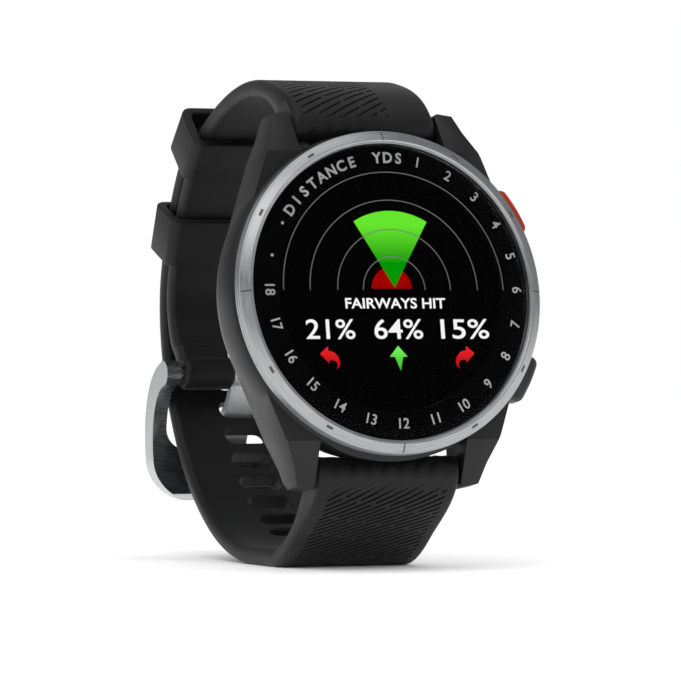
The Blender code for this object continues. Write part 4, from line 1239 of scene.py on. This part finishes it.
def tongue_line():
    y, z = BUCKLE_AXIS
    lower = Line(lower_line())
    slot = lower.at(slot_in_use(lower))[0]
    to_slot = blend_curve((y, z), math.radians(-79.0), 3.6 * MM, slot, math.radians(-36.0),
                          1.6 * MM, 20)
    over = blend_curve(slot, math.radians(-36.0), 3.8 * MM, (y + 6.4 * MM, z - 13.8 * MM),
                       math.radians(-100.0), 3.0 * MM, 28)
    return Line(to_slot[:-1] + over)


def make_buckle():
    axis = BUCKLE_AXIS
    line = buckle_line()

    def thickness(along):
        return (3.4 - 0.7 * along / line.length) * MM

    outline = swept(line, thickness, 24)
    frame_piece = link("buckle_frame_forging", side_prism("buckle", outline, BUCKLE_HALF_WIDTH),
                       finish("buckle"))
    combine(frame_piece, rod(EYE_RADIUS, (-BUCKLE_HALF_WIDTH, *axis), (BUCKLE_HALF_WIDTH, *axis)),
            "UNION")
    inner = BUCKLE_HALF_WIDTH - ARM_WIDTH
    low = -10.6 * MM
    corner = 3.0 * MM
    window = [(-inner, 4 * MM), (-inner, low + corner)]
    window += arc((-inner + corner, low + corner), corner, math.pi, 1.5 * math.pi, 9)[1:]
    window += arc((inner - corner, low + corner), corner, -math.pi / 2, 0.0, 9)
    window += [(inner, 4 * MM)]
    upright = Matrix(((1, 0, 0, 0), (0, 0, -1, axis[0]), (0, 1, 0, axis[1]), (0, 0, 0, 1)))
    cutter = prism("window", window, -20 * MM, 20 * MM)
    cutter.transform(upright)
    combine(frame_piece, cleaned(cutter))
    bottom = min(p[1] for p in outline) - axis[1]
    radius = 5.5 * MM
    for side in (1, -1):
        centre = (side * (BUCKLE_HALF_WIDTH - radius), bottom + radius)
        curve = arc(centre, radius, -math.pi / 2, -math.pi / 2 + side * math.pi / 2, 14)
        outside = side * (BUCKLE_HALF_WIDTH + MM)
        edge = curve + [(outside, bottom + radius), (outside, bottom - MM),
                        (side * (BUCKLE_HALF_WIDTH - radius), bottom - MM)]
        cutter = prism("corner", edge if side < 0 else edge[::-1], -20 * MM, 20 * MM)
        cutter.transform(upright)
        combine(frame_piece, cleaned(cutter))
    combine(frame_piece, rod(BUCKLE_BAR_RADIUS + BUCKLE_BAR_CLEARANCE, (-11.6 * MM, *axis),
                             (11.6 * MM, *axis), 32))
    recess = swept(tongue_line(), lambda along: TONGUE_THICK + 0.7 * MM, 40)
    combine(frame_piece, side_prism("recess", recess, TONGUE_WIDTH / 2 + 0.3 * MM))
    round_edges(frame_piece, 0.38 * MM, 2, 40.0)
    brush_map(frame_piece.data, (1, 0, 0), (0, 0, 1))
    soften(frame_piece)
    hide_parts("buckle_frame")
    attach(frame_piece, "buckle")
    pin = rod(BUCKLE_BAR_RADIUS, (-11.5 * MM, *axis), (11.5 * MM, *axis), 32)
    bar = link("buckle_bar_pin", pin, finish("spring"))
    round_edges(bar, 0.12 * MM, 2)
    soften(bar)
    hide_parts("buckle_bar")
    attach(bar, "upper_strap")


def make_tongue():
    y, z = BUCKLE_AXIS
    full = tongue_line()
    line = Line([p for p in full.points if (p - Vector((y, z))).length >= 0.9 * MM])

    def thickness(along):
        share = along / line.length
        return TONGUE_THICK * (1.0 if share < 0.8 else 1.0 - 2.5 * (share - 0.8))

    band = side_prism("tongue", swept(line, thickness, 40), TONGUE_WIDTH / 2)
    tongue = link("buckle_tongue_forging", band, finish("tongue"))
    eye = rod(EYE_RADIUS, (-TONGUE_WIDTH / 2, y, z), (TONGUE_WIDTH / 2, y, z))
    combine(tongue, eye, "UNION")
    combine(tongue, rod(BUCKLE_BAR_RADIUS + BUCKLE_BAR_CLEARANCE, (-TONGUE_WIDTH, y, z),
                        (TONGUE_WIDTH, y, z), 32))
    round_edges(tongue, 0.16 * MM, 2, 40.0)
    brush_map(tongue.data, (0, 0.3, 1), (1, 0, 0))
    soften(tongue)
    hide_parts("buckle_tongue")
    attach(tongue, "tongue")


# ---------------------------------------------------------------- case and buttons


def lug_outline():
    inner = LUG_GAP / 2
    outer = inner + LUG_WIDTH
    root = math.radians(26.0)
    start = CASE_RADIUS - 0.85 * MM
    return [(inner, 15.5 * MM), (start * math.cos(root), start * math.sin(root)),
            (15.4 * MM, 18.3 * MM), (outer + 0.3 * MM, 22.0 * MM),
            (outer - 0.5 * MM, LUG_TIP - 0.35 * MM), (inner + 0.5 * MM, LUG_TIP),
            (inner, LUG_TIP - 0.4 * MM)]


def make_case():
    settings = bpy.context.scene.watch_head
    profile = [(20.9 * MM, CASE_TOP), (21.45 * MM, -2.9 * MM), (CASE_RADIUS, -3.6 * MM),
               (CASE_RADIUS, -6.9 * MM), (20.9 * MM, CASE_BACK + 0.3 * MM), (20.5 * MM, CASE_BACK),
               (CASE_BORE, CASE_BACK), (CASE_BORE, CASE_TOP)]
    case = link("case_moulding", lathe("case", profile, settings.circle_steps, Matrix()),
                finish("case"))
    for sx in (1, -1):
        for sy in (1, -1):
            outline = [(sx * x, sy * y) for x, y in lug_outline()]
            if sx * sy < 0:
                outline.reverse()
            combine(case, prism("lug", outline, CASE_BACK, -2.9 * MM), "UNION")
    slope = math.atan2(3.2, 6.0)
    for sy in (1, -1):
        front = block((40 * MM, 20 * MM, 10 * MM), (0.0, 10 * MM, 5 * MM))
        front.transform(Matrix.Translation((0.0, sy * 18.8 * MM, -2.75 * MM))
                        @ Matrix.Rotation(-sy * slope, 4, "X") @ Matrix.Scale(sy, 4, (0, 1, 0)))
        combine(case, cleaned(front))
        back = block((40 * MM, 12 * MM, 6 * MM), (0.0, 6 * MM, -3 * MM))
        back.transform(Matrix.Translation((0.0, sy * 23.6 * MM, CASE_BACK - 0.1 * MM))
                       @ Matrix.Rotation(sy * math.radians(40), 4, "X")
                       @ Matrix.Scale(sy, 4, (0, 1, 0)))
        combine(case, cleaned(back))
        centre = (sy * BAR_OUT, BAR_HEIGHT)
        combine(case, rod(ROLL_RADIUS + 0.45 * MM, (-LUG_GAP / 2, *centre),
                          (LUG_GAP / 2, *centre), 64))
    for angle in (START_ANGLE, BACK_ANGLE):
        turn = Matrix.Rotation(angle, 4, "Z") @ Matrix.Translation((0.0, 0.0, BUTTON_HEIGHT))
        pocket = block((6 * MM, BUTTON_LENGTH + 0.5 * MM, BUTTON_DEPTH + 0.5 * MM),
                       (22.6 * MM, 0.0, 0.0))
        pocket.transform(turn)
        combine(case, pocket)
        bore = rod(1.0 * MM, (16.5 * MM, 0, 0), (20.5 * MM, 0, 0), 32)
        bore.transform(turn)
        combine(case, bore)
    round_edges(case, 0.22 * MM, 2, 24.0)
    case.data.transform(HEAD)
    soften(case, 40.0)
    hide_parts("case_body")
    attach(case, "case")


def make_bezel():
    settings = bpy.context.scene.watch_head
    seat = CASE_TOP + 0.2 * MM
    line = BEZEL_RADIUS - 0.1 * MM     # the bottom of the two turned lines
    profile = [(19.68 * MM, 0.02 * MM), (19.76 * MM, 0.16 * MM), (19.98 * MM, 0.29 * MM),
               (20.08 * MM, 0.30 * MM), (21.0 * MM, -0.24 * MM), (21.1 * MM, -0.33 * MM),
               (21.17 * MM, -0.4 * MM), (BEZEL_RADIUS - 0.04 * MM, -0.46 * MM),
               (BEZEL_RADIUS, -0.53 * MM), (BEZEL_RADIUS, -0.86 * MM), (line, -0.9 * MM),
               (line, -0.99 * MM), (BEZEL_RADIUS, -1.03 * MM), (BEZEL_RADIUS, -1.5 * MM),
               (line, -1.54 * MM), (line, -1.63 * MM), (BEZEL_RADIUS, -1.67 * MM),
               (BEZEL_RADIUS, seat + 0.12 * MM), (BEZEL_RADIUS - 0.12 * MM, seat),
               (18.5 * MM, seat), (18.5 * MM, -1.75 * MM), (GLASS_RADIUS + 0.15 * MM, -1.75 * MM),
               (GLASS_RADIUS + 0.15 * MM, -0.02 * MM)]
    bezel = link("bezel_turning", lathe("bezel", profile, settings.circle_steps, Matrix()),
                 finish("bezel"))
    # Marks are cut square to the sloping front face.
    slope = Matrix.Rotation(math.atan2(0.54, 0.92), 4, "Y")
    middle = 20.54 * MM
    place = Matrix.Translation((0.0, 0.0, 0.03 * MM)) @ slope
    depth = settings.mark_depth
    tick = block((1.5 * MM, 0.17 * MM, 2 * depth))
    tick.transform(place)
    short = block((0.36 * MM, 0.95 * MM, 2 * depth))
    short.transform(place)
    quarters = settings.mark_count // 3
    cutters = ring_of(tick, finish("mark"), quarters, middle, 0.0)
    combine(bezel, cutters, material=finish("mark"))
    for share in (1, 2):
        cutters = ring_of(short, finish("mark"), quarters, middle,
                          share * math.tau / settings.mark_count)
        combine(bezel, cutters, material=finish("mark"))
    bezel.data.transform(HEAD)
    soften(bezel, 20.0)
    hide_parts("bezel_ring")
    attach(bezel, "case")


def make_glass():
    settings = bpy.context.scene.watch_head
    rim = [(16.7 * MM + 2.63 * MM * k / 10, -0.40 * MM * (k / 10) ** 2) for k in range(11)]
    edge = [(GLASS_RADIUS - 0.03 * MM, -0.46 * MM), (GLASS_RADIUS, -0.56 * MM),
            (GLASS_RADIUS, -0.9 * MM), (GLASS_RADIUS - 0.1 * MM, -1.0 * MM), (0.0, -1.0 * MM)]
    profile = [(0.0, 0.0)] + rim + edge
    lens = link("cover_lens", lathe("lens", profile, settings.circle_steps), finish("glass"))
    soften(lens, 30.0)
    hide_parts("lens")
    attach(lens, "case")


def text_mesh(body, size, width=None, bold=0.0):
    """Letters as a thin closed mesh, centred on the origin in X and Y."""
    curve = bpy.data.curves.new("letters", "FONT")
    curve.body = body
    curve.size = size
    curve.offset = bold
    curve.extrude = 0.006 * MM
    curve.align_x = "CENTER"
    curve.resolution_u = 4
    obj = bpy.data.objects.new("letters", curve)
    bpy.context.scene.collection.objects.link(obj)
    mesh = evaluated(obj)
    bpy.data.objects.remove(obj)
    xs = [v.co.x for v in mesh.vertices]
    ys = [v.co.y for v in mesh.vertices]
    stretch = width / (max(xs) - min(xs)) if width else 1.0
    middle = ((min(xs) + max(xs)) / 2, (min(ys) + max(ys)) / 2)
    mesh.transform(Matrix.Scale(stretch, 4, (1, 0, 0))
                   @ Matrix.Translation((-middle[0], -middle[1], 0.0)))
    return cleaned(mesh, 1e-7)


def joined(name, meshes, material):
    """Several meshes as one piece."""
    work = bmesh.new()
    for mesh in meshes:
        work.from_mesh(mesh)
    whole = bpy.data.meshes.new(name)
    work.to_mesh(whole)
    work.free()
    return link(name, whole, material)


def on_dial(clock_angle, radius, flip, height):
    """Where a numeral stands, clockwise from twelve, its top outward, or inward when flipped."""
    turn = -clock_angle + (math.pi if flip else 0.0)
    place = (radius * math.sin(clock_angle), radius * math.cos(clock_angle), height)
    return Matrix.Translation(place) @ Matrix.Rotation(turn, 4, "Z")


def bent_word(word, radius, middle, step_angle, size, height):
    """A word set letter by letter round the dial, reading left to right at the top."""
    meshes = []
    for k, letter in enumerate(word):
        if letter != " ":
            mesh = text_mesh(letter, size, bold=size * 0.028)
            angle = middle + (k - (len(word) - 1) / 2) * step_angle
            mesh.transform(on_dial(angle, radius, False, height))
            meshes.append(mesh)
    return meshes


def make_dial():
    settings = bpy.context.scene.watch_head
    low = PRINT_HEIGHT - 0.45 * MM
    inner, outer = RING_RADII
    profile = [(outer, PRINT_HEIGHT), (outer, low), (inner, low), (inner, PRINT_HEIGHT)]
    ring = link("printed_ring", lathe("ring", profile, settings.circle_steps), finish("ring"))
    soften(ring)
    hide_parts("dial_ring")
    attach(ring, "case")
    # A black ring under the glass's rim darkens the band over the gasket and the bezel's shelf. The
    # numerals are printed on the glass's underside.
    inner, outer = BORDER_RADII
    top, bottom = BORDER_HEIGHTS
    border = [(outer, top), (outer, bottom), (inner, bottom), (inner, top)]
    rim = link("glass_border_print", lathe("border", border, settings.circle_steps), finish("ring"))
    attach(rim, "case")
    height = NUMERAL_HEIGHT
    spacing = math.radians(15.0)
    meshes = []
    for number in range(1, 19):
        mesh = text_mesh(str(number), settings.numeral_size, bold=0.02 * MM)
        mesh.transform(on_dial(number * spacing, settings.numeral_radius, number > 6, height))
        meshes.append(mesh)
    for place in (19, 20):
        dot = prism("dot", arc((0.0, 0.0), 0.2 * MM, 0.0, math.tau * 15 / 16, 16), -0.01 * MM,
                    0.01 * MM)
        dot.transform(on_dial(place * spacing, settings.numeral_radius, False, height))
        meshes.append(dot)
    meshes += bent_word(settings.arc_words, settings.numeral_radius, math.radians(-34.5),
                        math.radians(5.3), 1.9 * MM, height)
    meshes += bent_word(settings.unit_words, settings.numeral_radius, math.radians(1.0),
                        math.radians(5.0), 1.9 * MM, height)
    numerals = joined("dial_numerals", meshes, finish("ink"))
    numerals.data.transform(HEAD @ Matrix.Translation(NUMERAL_SHIFT))
    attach(numerals, "case")


def screen_plate(outline, layer):
    base = PRINT_HEIGHT + (0.01 + 0.02 * layer) * MM
    return prism("screen_plate", outline, base, base + 0.012 * MM)


def half_ring(radius, width):
    outer = arc((0.0, 0.0), radius + width / 2, 0.0, math.pi, 65)
    return outer + arc((0.0, 0.0), radius - width / 2, math.pi, 0.0, 65)


def turn_arrow(side):
    """An arrow that bends out to one side: head, then a tapering curved tail."""
    points = [(-1.42, 0.55), (-0.25, 1.5), (-0.25, 0.95), (0.55, 0.75), (1.15, 0.1), (1.35, -0.65),
              (1.2, -1.15), (0.75, -1.5), (0.95, -0.95), (0.8, -0.5), (0.35, -0.3), (-0.2, -0.35),
              (-0.2, -0.75)]
    outline = [(-side * x * MM, y * MM) for x, y in points]
    return outline if side < 0 else outline[::-1]


def make_display():
    """The lit picture: a fan over range arcs, a heading, three shares and three arrows."""
    settings = bpy.context.scene.watch_head
    colours = bpy.context.scene.watch_finish

    def lit_piece(name, meshes, material, place=PICTURE_SHIFT):
        piece = joined(name, meshes, material)
        piece.data.transform(HEAD @ Matrix.Translation(place))
        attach(piece, "case")

    arcs = []
    for radius in (4.38, 8.0, 11.88, 15.6):
        mesh = screen_plate(half_ring(radius * MM, 0.11 * MM), 2)
        mesh.transform(Matrix.Translation(ARC_CENTRE))
        arcs.append(mesh)
    lit_piece("screen_arcs", arcs, finish("grey"), ARC_SHIFT)
    apex = (0.3 * MM, 0.47 * MM)
    spread = math.radians(30.8)
    fan = [apex] + arc(apex, 10.15 * MM, math.pi / 2 + spread, math.pi / 2 - spread, 33)
    low = (HEAD @ Vector((0.0, apex[1] + 3.2 * MM, 0.0))).z
    high = (HEAD @ Vector((0.0, apex[1] + 8.2 * MM, 0.0))).z
    lit_piece("screen_fan", [screen_plate(fan[::-1], 1)],
              lit_blend("lit_green_fan", low, "#009300", high, colours.green))
    disc = arc((-0.1 * MM, 0.33 * MM), 2.85 * MM, 0.0, math.pi, 33)
    lit_piece("screen_miss_disc", [screen_plate(disc, 0)], lit("lit_dark_red", colours.red))
    words = text_mesh(settings.screen_title, 1.9 * MM, 14.2 * MM, bold=0.035 * MM)
    words.transform(Matrix.Translation((0.24 * MM, -1.6 * MM, PRINT_HEIGHT + 0.03 * MM)))
    meshes = [words]
    for share, x in (("21%", -9.19), ("64%", 0.42), ("15%", 9.88)):
        mesh = text_mesh(share, 3.65 * MM, 6.9 * MM, bold=0.03 * MM)
        mesh.transform(Matrix.Translation((x * MM, -5.0 * MM, PRINT_HEIGHT + 0.03 * MM)))
        meshes.append(mesh)
    lit_piece("screen_figures", meshes, finish("white"))
    low = (HEAD @ Vector((0.0, -10.2 * MM, 0.0))).z
    high = (HEAD @ Vector((0.0, -7.2 * MM, 0.0))).z
    arrows = []
    for side, x in ((-1, -9.49), (1, 9.58)):
        mesh = screen_plate(turn_arrow(side), 1)
        mesh.transform(Matrix.Translation((x * MM, -8.75 * MM, 0.0)))
        arrows.append(mesh)
    lit_piece("screen_side_arrows", arrows,
              lit_blend("lit_red_arrows", low, "#A30A10", high, "#F0232B"))
    up = [(0.0, 1.55), (-1.28, 0.1), (-0.55, 0.1), (0.18, -1.75), (0.62, 0.1), (1.28, 0.1)]
    arrow = screen_plate([(x * MM, y * MM) for x, y in up], 1)
    arrow.transform(Matrix.Translation((0.16 * MM, -8.75 * MM, 0.0)))
    lit_piece("screen_straight_arrow", [arrow],
              lit_blend("lit_green_arrow", low, "#2FBE2A", high, "#7BF05A"))


def make_button(prefix, angle, key):
    """Cap and stem in one. Local +X is outward."""
    half = math.asin(BUTTON_LENGTH / 2 / BUTTON_FACE)
    root = 21.0 * MM
    face = arc((0, 0), BUTTON_FACE, -half, half, 15)
    outline = filleted([(root, -BUTTON_LENGTH / 2)] + face[:1] + [face[7]] + face[-1:]
                       + [(root, BUTTON_LENGTH / 2)], 1.1 * MM, 6)
    cap = link(prefix + "_button_cap",
               prism("cap", outline, -BUTTON_DEPTH / 2, BUTTON_DEPTH / 2), finish(key))
    round_edges(cap, 0.45 * MM, 3, 50.0)
    combine(cap, rod(STEM_RADIUS, (STEM_END, 0, 0), (root + 0.5 * MM, 0, 0), 32), "UNION")
    # The clip's groove round the stem.
    groove = lathe("groove", [(1.2 * MM, 17.1 * MM), (1.2 * MM, 17.5 * MM), (0.5 * MM, 17.5 * MM),
                              (0.5 * MM, 17.1 * MM)], 32, Matrix.Rotation(math.pi / 2, 4, "Y"))
    combine(cap, groove)
    cap.data.transform(HEAD @ Matrix.Translation((0.0, 0.0, BUTTON_HEIGHT))
                       @ Matrix.Rotation(angle, 4, "Z"))
    soften(cap, 40.0)
    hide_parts(prefix + "_button")
    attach(cap, prefix + "_button")


# ---------------------------------------------------------------- rear and inside


def screw_points():
    angles = [math.radians(45 + 90 * k) for k in range(4)]
    return [(SCREW_CIRCLE * math.cos(a), SCREW_CIRCLE * math.sin(a)) for a in angles]


def make_rear():
    settings = bpy.context.scene.watch_head
    plug = CASE_BORE - 0.25 * MM
    groove = plug - 0.7 * MM
    profile = [(0.0, -9.0 * MM), (plug, -9.0 * MM), (plug, -9.15 * MM), (groove, -9.15 * MM),
               (groove, -9.65 * MM), (plug, -9.65 * MM), (plug, CASE_BACK - 0.2 * MM),
               (20.25 * MM, CASE_BACK - 0.2 * MM), (20.4 * MM, CASE_BACK - 0.35 * MM),
               (20.4 * MM, -10.3 * MM), (20.32 * MM, -10.5 * MM), (18.8 * MM, -11.6 * MM),
               (18.4 * MM, COVER_BACK), (0.0, COVER_BACK)]
    cover = link("rear_cover_moulding", lathe("cover", profile, settings.circle_steps, Matrix()),
                 finish("cover"))
    for x, y in screw_points():
        combine(cover, rod(0.7 * MM, (x, y, COVER_BACK - MM), (x, y, -8.9 * MM), 24))
        combine(cover, rod(1.25 * MM, (x, y, COVER_BACK - MM), (x, y, -10.5 * MM), 32))
    hole = prism("port_hole", rounded_rectangle(4.1 * MM, 2.1 * MM, 0.8 * MM), COVER_BACK - MM,
                 -9.9 * MM)
    hole.transform(Matrix.Translation((0.0, -8.0 * MM, 0.0)))
    combine(cover, hole)
    cover.data.transform(HEAD)
    soften(cover, 30.0)
    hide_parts("rear_cover")
    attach(cover, "case")
    profile = [(0.0, -7.8 * MM), (0.45 * MM, -7.8 * MM), (0.45 * MM, -10.7 * MM),
               (1.1 * MM, -10.7 * MM), (1.1 * MM, -11.0 * MM), (1.0 * MM, -11.1 * MM),
               (0.0, -11.1 * MM)]
    screw = link("screw", lathe("screw", profile, 28, Matrix()), finish("spring"))
    for turn in (0.0, math.pi / 2):
        bar = block((1.3 * MM, 0.3 * MM, 0.6 * MM), (0.0, 0.0, -11.1 * MM))
        bar.transform(Matrix.Rotation(turn, 4, "Z"))
        combine(screw, bar)
    mesh = ring_of(screw.data.copy(), finish("spring"), 4, SCREW_CIRCLE, math.radians(45.0))
    bpy.data.objects.remove(screw)
    screws = link("rear_screws", mesh, finish("spring"))
    screws.data.transform(HEAD)
    soften(screws)
    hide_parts(*("rear_screw_%d" % k for k in range(1, 5)))
    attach(screws, "case")


# Which finish each piece that keeps its CAD shape gets.
INSIDE = {
    "seal": ("lens_gasket", "rear_gasket", "start_seal", "back_seal"),
    "panel": ("display_panel",),
    "frame": ("display_frame", "charge_port", "start_switch", "back_switch"),
    "flex": ("display_flex",),
    "board": ("main_board",),
    "can": ("shield_can",),
    "cell": ("battery",),
    "motor": ("vibration_motor",),
    "copper": ("gps_antenna",),
    "gold": ("charge_contact_1", "charge_contact_2", "charge_contact_3", "charge_contact_4"),
    "spring": ("start_spring", "back_spring", "start_clip", "back_clip", "upper_spring_bar",
               "lower_spring_bar", "upper_bar_spring", "lower_bar_spring", "upper_release_pin",
               "lower_release_pin"),
}


# ---------------------------------------------------------------- operators


class BuildStep(bpy.types.Operator):
    """Shared by the operators that build one part of the watch."""

    bl_options = {"REGISTER", "UNDO"}


class WATCH_OT_case(BuildStep):
    """Case with its four lugs, and the rear cover with its screws"""

    bl_idname = "watch.case"
    bl_label = "Case and rear cover"

    def execute(self, context):
        make_case()
        make_rear()
        return {"FINISHED"}


class WATCH_OT_bezel(BuildStep):
    """Brushed steel bezel with its engraved marks"""

    bl_idname = "watch.bezel"
    bl_label = "Bezel"

    def execute(self, context):
        make_bezel()
        return {"FINISHED"}


class WATCH_OT_dial(BuildStep):
    """Cover glass, the printed ring with its numerals, and the lit screen"""

    bl_idname = "watch.dial"
    bl_label = "Glass, dial and screen"

    def execute(self, context):
        make_glass()
        make_dial()
        make_display()
        return {"FINISHED"}


class WATCH_OT_buttons(BuildStep):
    """Red start button and black back button"""

    bl_idname = "watch.buttons"
    bl_label = "Buttons"

    def execute(self, context):
        make_button("start", START_ANGLE, "start")
        make_button("back", BACK_ANGLE, "back")
        return {"FINISHED"}


class WATCH_OT_upper_strap(BuildStep):
    """Buckle half of the strap, with its moulded grooves"""

    bl_idname = "watch.upper_strap"
    bl_label = "Upper strap"

    def execute(self, context):
        make_upper_strap()
        return {"FINISHED"}


class WATCH_OT_lower_strap(BuildStep):
    """Slotted half of the strap, with its moulded grooves"""

    bl_idname = "watch.lower_strap"
    bl_label = "Lower strap"

    def execute(self, context):
        make_lower_strap()
        return {"FINISHED"}


class WATCH_OT_keepers(BuildStep):
    """The two sliding loops that hold the strap's free end"""

    bl_idname = "watch.keepers"
    bl_label = "Keepers"

    def execute(self, context):
        make_keeper("upper_keeper", UPPER_KEEPER_ANGLE)
        make_keeper("lower_keeper", LOWER_KEEPER_ANGLE)
        return {"FINISHED"}


class WATCH_OT_buckle(BuildStep):
    """Buckle frame, its bar and its tongue"""

    bl_idname = "watch.buckle"
    bl_label = "Buckle"

    def execute(self, context):
        make_buckle()
        make_tongue()
        return {"FINISHED"}


class WATCH_OT_inside(BuildStep):
    """Finishes of the pieces that keep their CAD shape"""

    bl_idname = "watch.inside"
    bl_label = "Inside pieces"

    def execute(self, context):
        for key, names in INSIDE.items():
            for name in names:
                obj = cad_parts[name]
                if not obj.material_slots:
                    obj.data.materials.append(finish(key))
                for slot in obj.material_slots:
                    slot.material = finish(key)
        return {"FINISHED"}


LAMP_TARGET = (0.0, 0.0, 0.034)


def softbox(name, azimuth, elevation, distance, width, height, power):
    """A rectangular lamp aimed at the watch. Azimuth is from -Y towards +X."""
    settings = bpy.context.scene.watch_stage
    data = bpy.data.lights.new(name, "AREA")
    data.shape = "RECTANGLE"
    data.size = width
    data.size_y = height
    data.energy = power * settings.light_power
    lamp = bpy.data.objects.new(name, data)
    az = math.radians(azimuth)
    el = math.radians(elevation)
    aim = Vector((math.sin(az) * math.cos(el), -math.cos(az) * math.cos(el), math.sin(el)))
    place = aim * distance
    lamp.location = Vector(LAMP_TARGET) + place
    lamp.rotation_euler = place.to_track_quat("Z", "Y").to_euler()
    bpy.context.scene.collection.objects.link(lamp)


class WATCH_OT_stage(BuildStep):
    """Pale floor, soft studio lamps and the camera"""

    bl_idname = "watch.stage"
    bl_label = "Stage"

    def execute(self, context):
        settings = context.scene.watch_stage
        mesh = bpy.data.meshes.new("studio_floor")
        half = settings.floor_size / 2
        level = -0.02 * MM     # just below the strap's foot
        mesh.from_pydata([(-half, -half, level), (half, -half, level), (half, half, level),
                          (-half, half, level)], [], [(0, 1, 2, 3)])
        material, _, _ = new_finish("pale_studio_floor", "#FFFFFF", 0.8, Specular_IOR_Level=0.0)
        floor = link("studio_floor", mesh, material)
        world = bpy.data.worlds.new("studio")
        world.use_nodes = True
        tree = world.node_tree
        tree.nodes.clear()
        path = add_node(tree, "ShaderNodeLightPath")
        seen = add_node(tree, "ShaderNodeMath", {0: path.outputs["Is Camera Ray"],
                                                 1: path.outputs["Is Diffuse Ray"]},
                        operation="MAXIMUM")
        # Reflections see a dimmer world than the eye does, which keeps the glass and case dark.
        power = add_node(tree, "ShaderNodeMapRange", {"Value": seen.outputs["Value"],
                                                      "To Min": 0.3, "To Max": 1.0})
        light = add_node(tree, "ShaderNodeBackground", {"Strength": power.outputs["Result"]})
        light.inputs["Color"].default_value = (1.0, 1.0, 1.0, 1.0)
        add_node(tree, "ShaderNodeOutputWorld", {"Surface": light.outputs["Background"]})
        context.scene.world = world
        softbox("key_softbox", -48.0, 48.0, 0.9, 0.5, 0.5, 1.6)
        softbox("side_softbox", -95.0, 18.0, 0.8, 0.35, 0.6, 0.6)
        softbox("top_softbox", 0.0, 84.0, 0.8, 0.5, 0.4, 0.7)
        softbox("right_strip", 62.0, 24.0, 0.8, 0.22, 0.6, 0.5)
        data = bpy.data.cameras.new("camera")
        data.sensor_width = 36.0
        data.lens = settings.camera_lens
        data.clip_start = 0.01
        camera = bpy.data.objects.new("camera", data)
        camera.location = settings.camera_place
        camera.rotation_euler = (math.radians(89.67), 0.0, math.radians(-23.42))
        context.scene.collection.objects.link(camera)
        context.scene.camera = camera
        context.scene.view_settings.view_transform = "Standard"
        return {"FINISHED"}


STEPS = (WATCH_OT_case, WATCH_OT_bezel, WATCH_OT_dial, WATCH_OT_buttons, WATCH_OT_upper_strap,
         WATCH_OT_lower_strap, WATCH_OT_keepers, WATCH_OT_buckle, WATCH_OT_inside,
         WATCH_OT_stage)


class WATCH_PT_panel(bpy.types.Panel):
    """Lists the steps that build the watch"""

    bl_label = "Golf GPS watch"
    bl_idname = "WATCH_PT_panel"
    bl_space_type = "VIEW_3D"
    bl_region_type = "UI"
    bl_category = "Watch"

    def draw(self, context):
        for setting, _ in SETTINGS:
            group = getattr(context.scene, setting)
            column = self.layout.column()
            for key in group.bl_rna.properties.keys():
                if key not in ("rna_type", "name"):
                    column.prop(group, key)
        for step_class in STEPS:
            self.layout.operator(step_class.bl_idname)


SETTINGS = (("watch_head", HeadSettings), ("watch_strap", StrapSettings),
            ("watch_finish", FinishSettings), ("watch_stage", StageSettings))


def register():
    for _, group in SETTINGS:
        bpy.utils.register_class(group)
    for key, group in SETTINGS:
        setattr(bpy.types.Scene, key, PointerProperty(type=group))
    for step_class in STEPS:
        bpy.utils.register_class(step_class)
    bpy.utils.register_class(WATCH_PT_panel)


def unregister():
    bpy.utils.unregister_class(WATCH_PT_panel)
    for step_class in reversed(STEPS):
        bpy.utils.unregister_class(step_class)
    for key, group in reversed(SETTINGS):
        delattr(bpy.types.Scene, key)
        bpy.utils.unregister_class(group)


def main():
    register()
    for step_class in STEPS:
        package, name = step_class.bl_idname.split(".")
        getattr(getattr(bpy.ops, package), name)()
    bpy.context.view_layer.update()


if __name__ == "__main__":
    main()
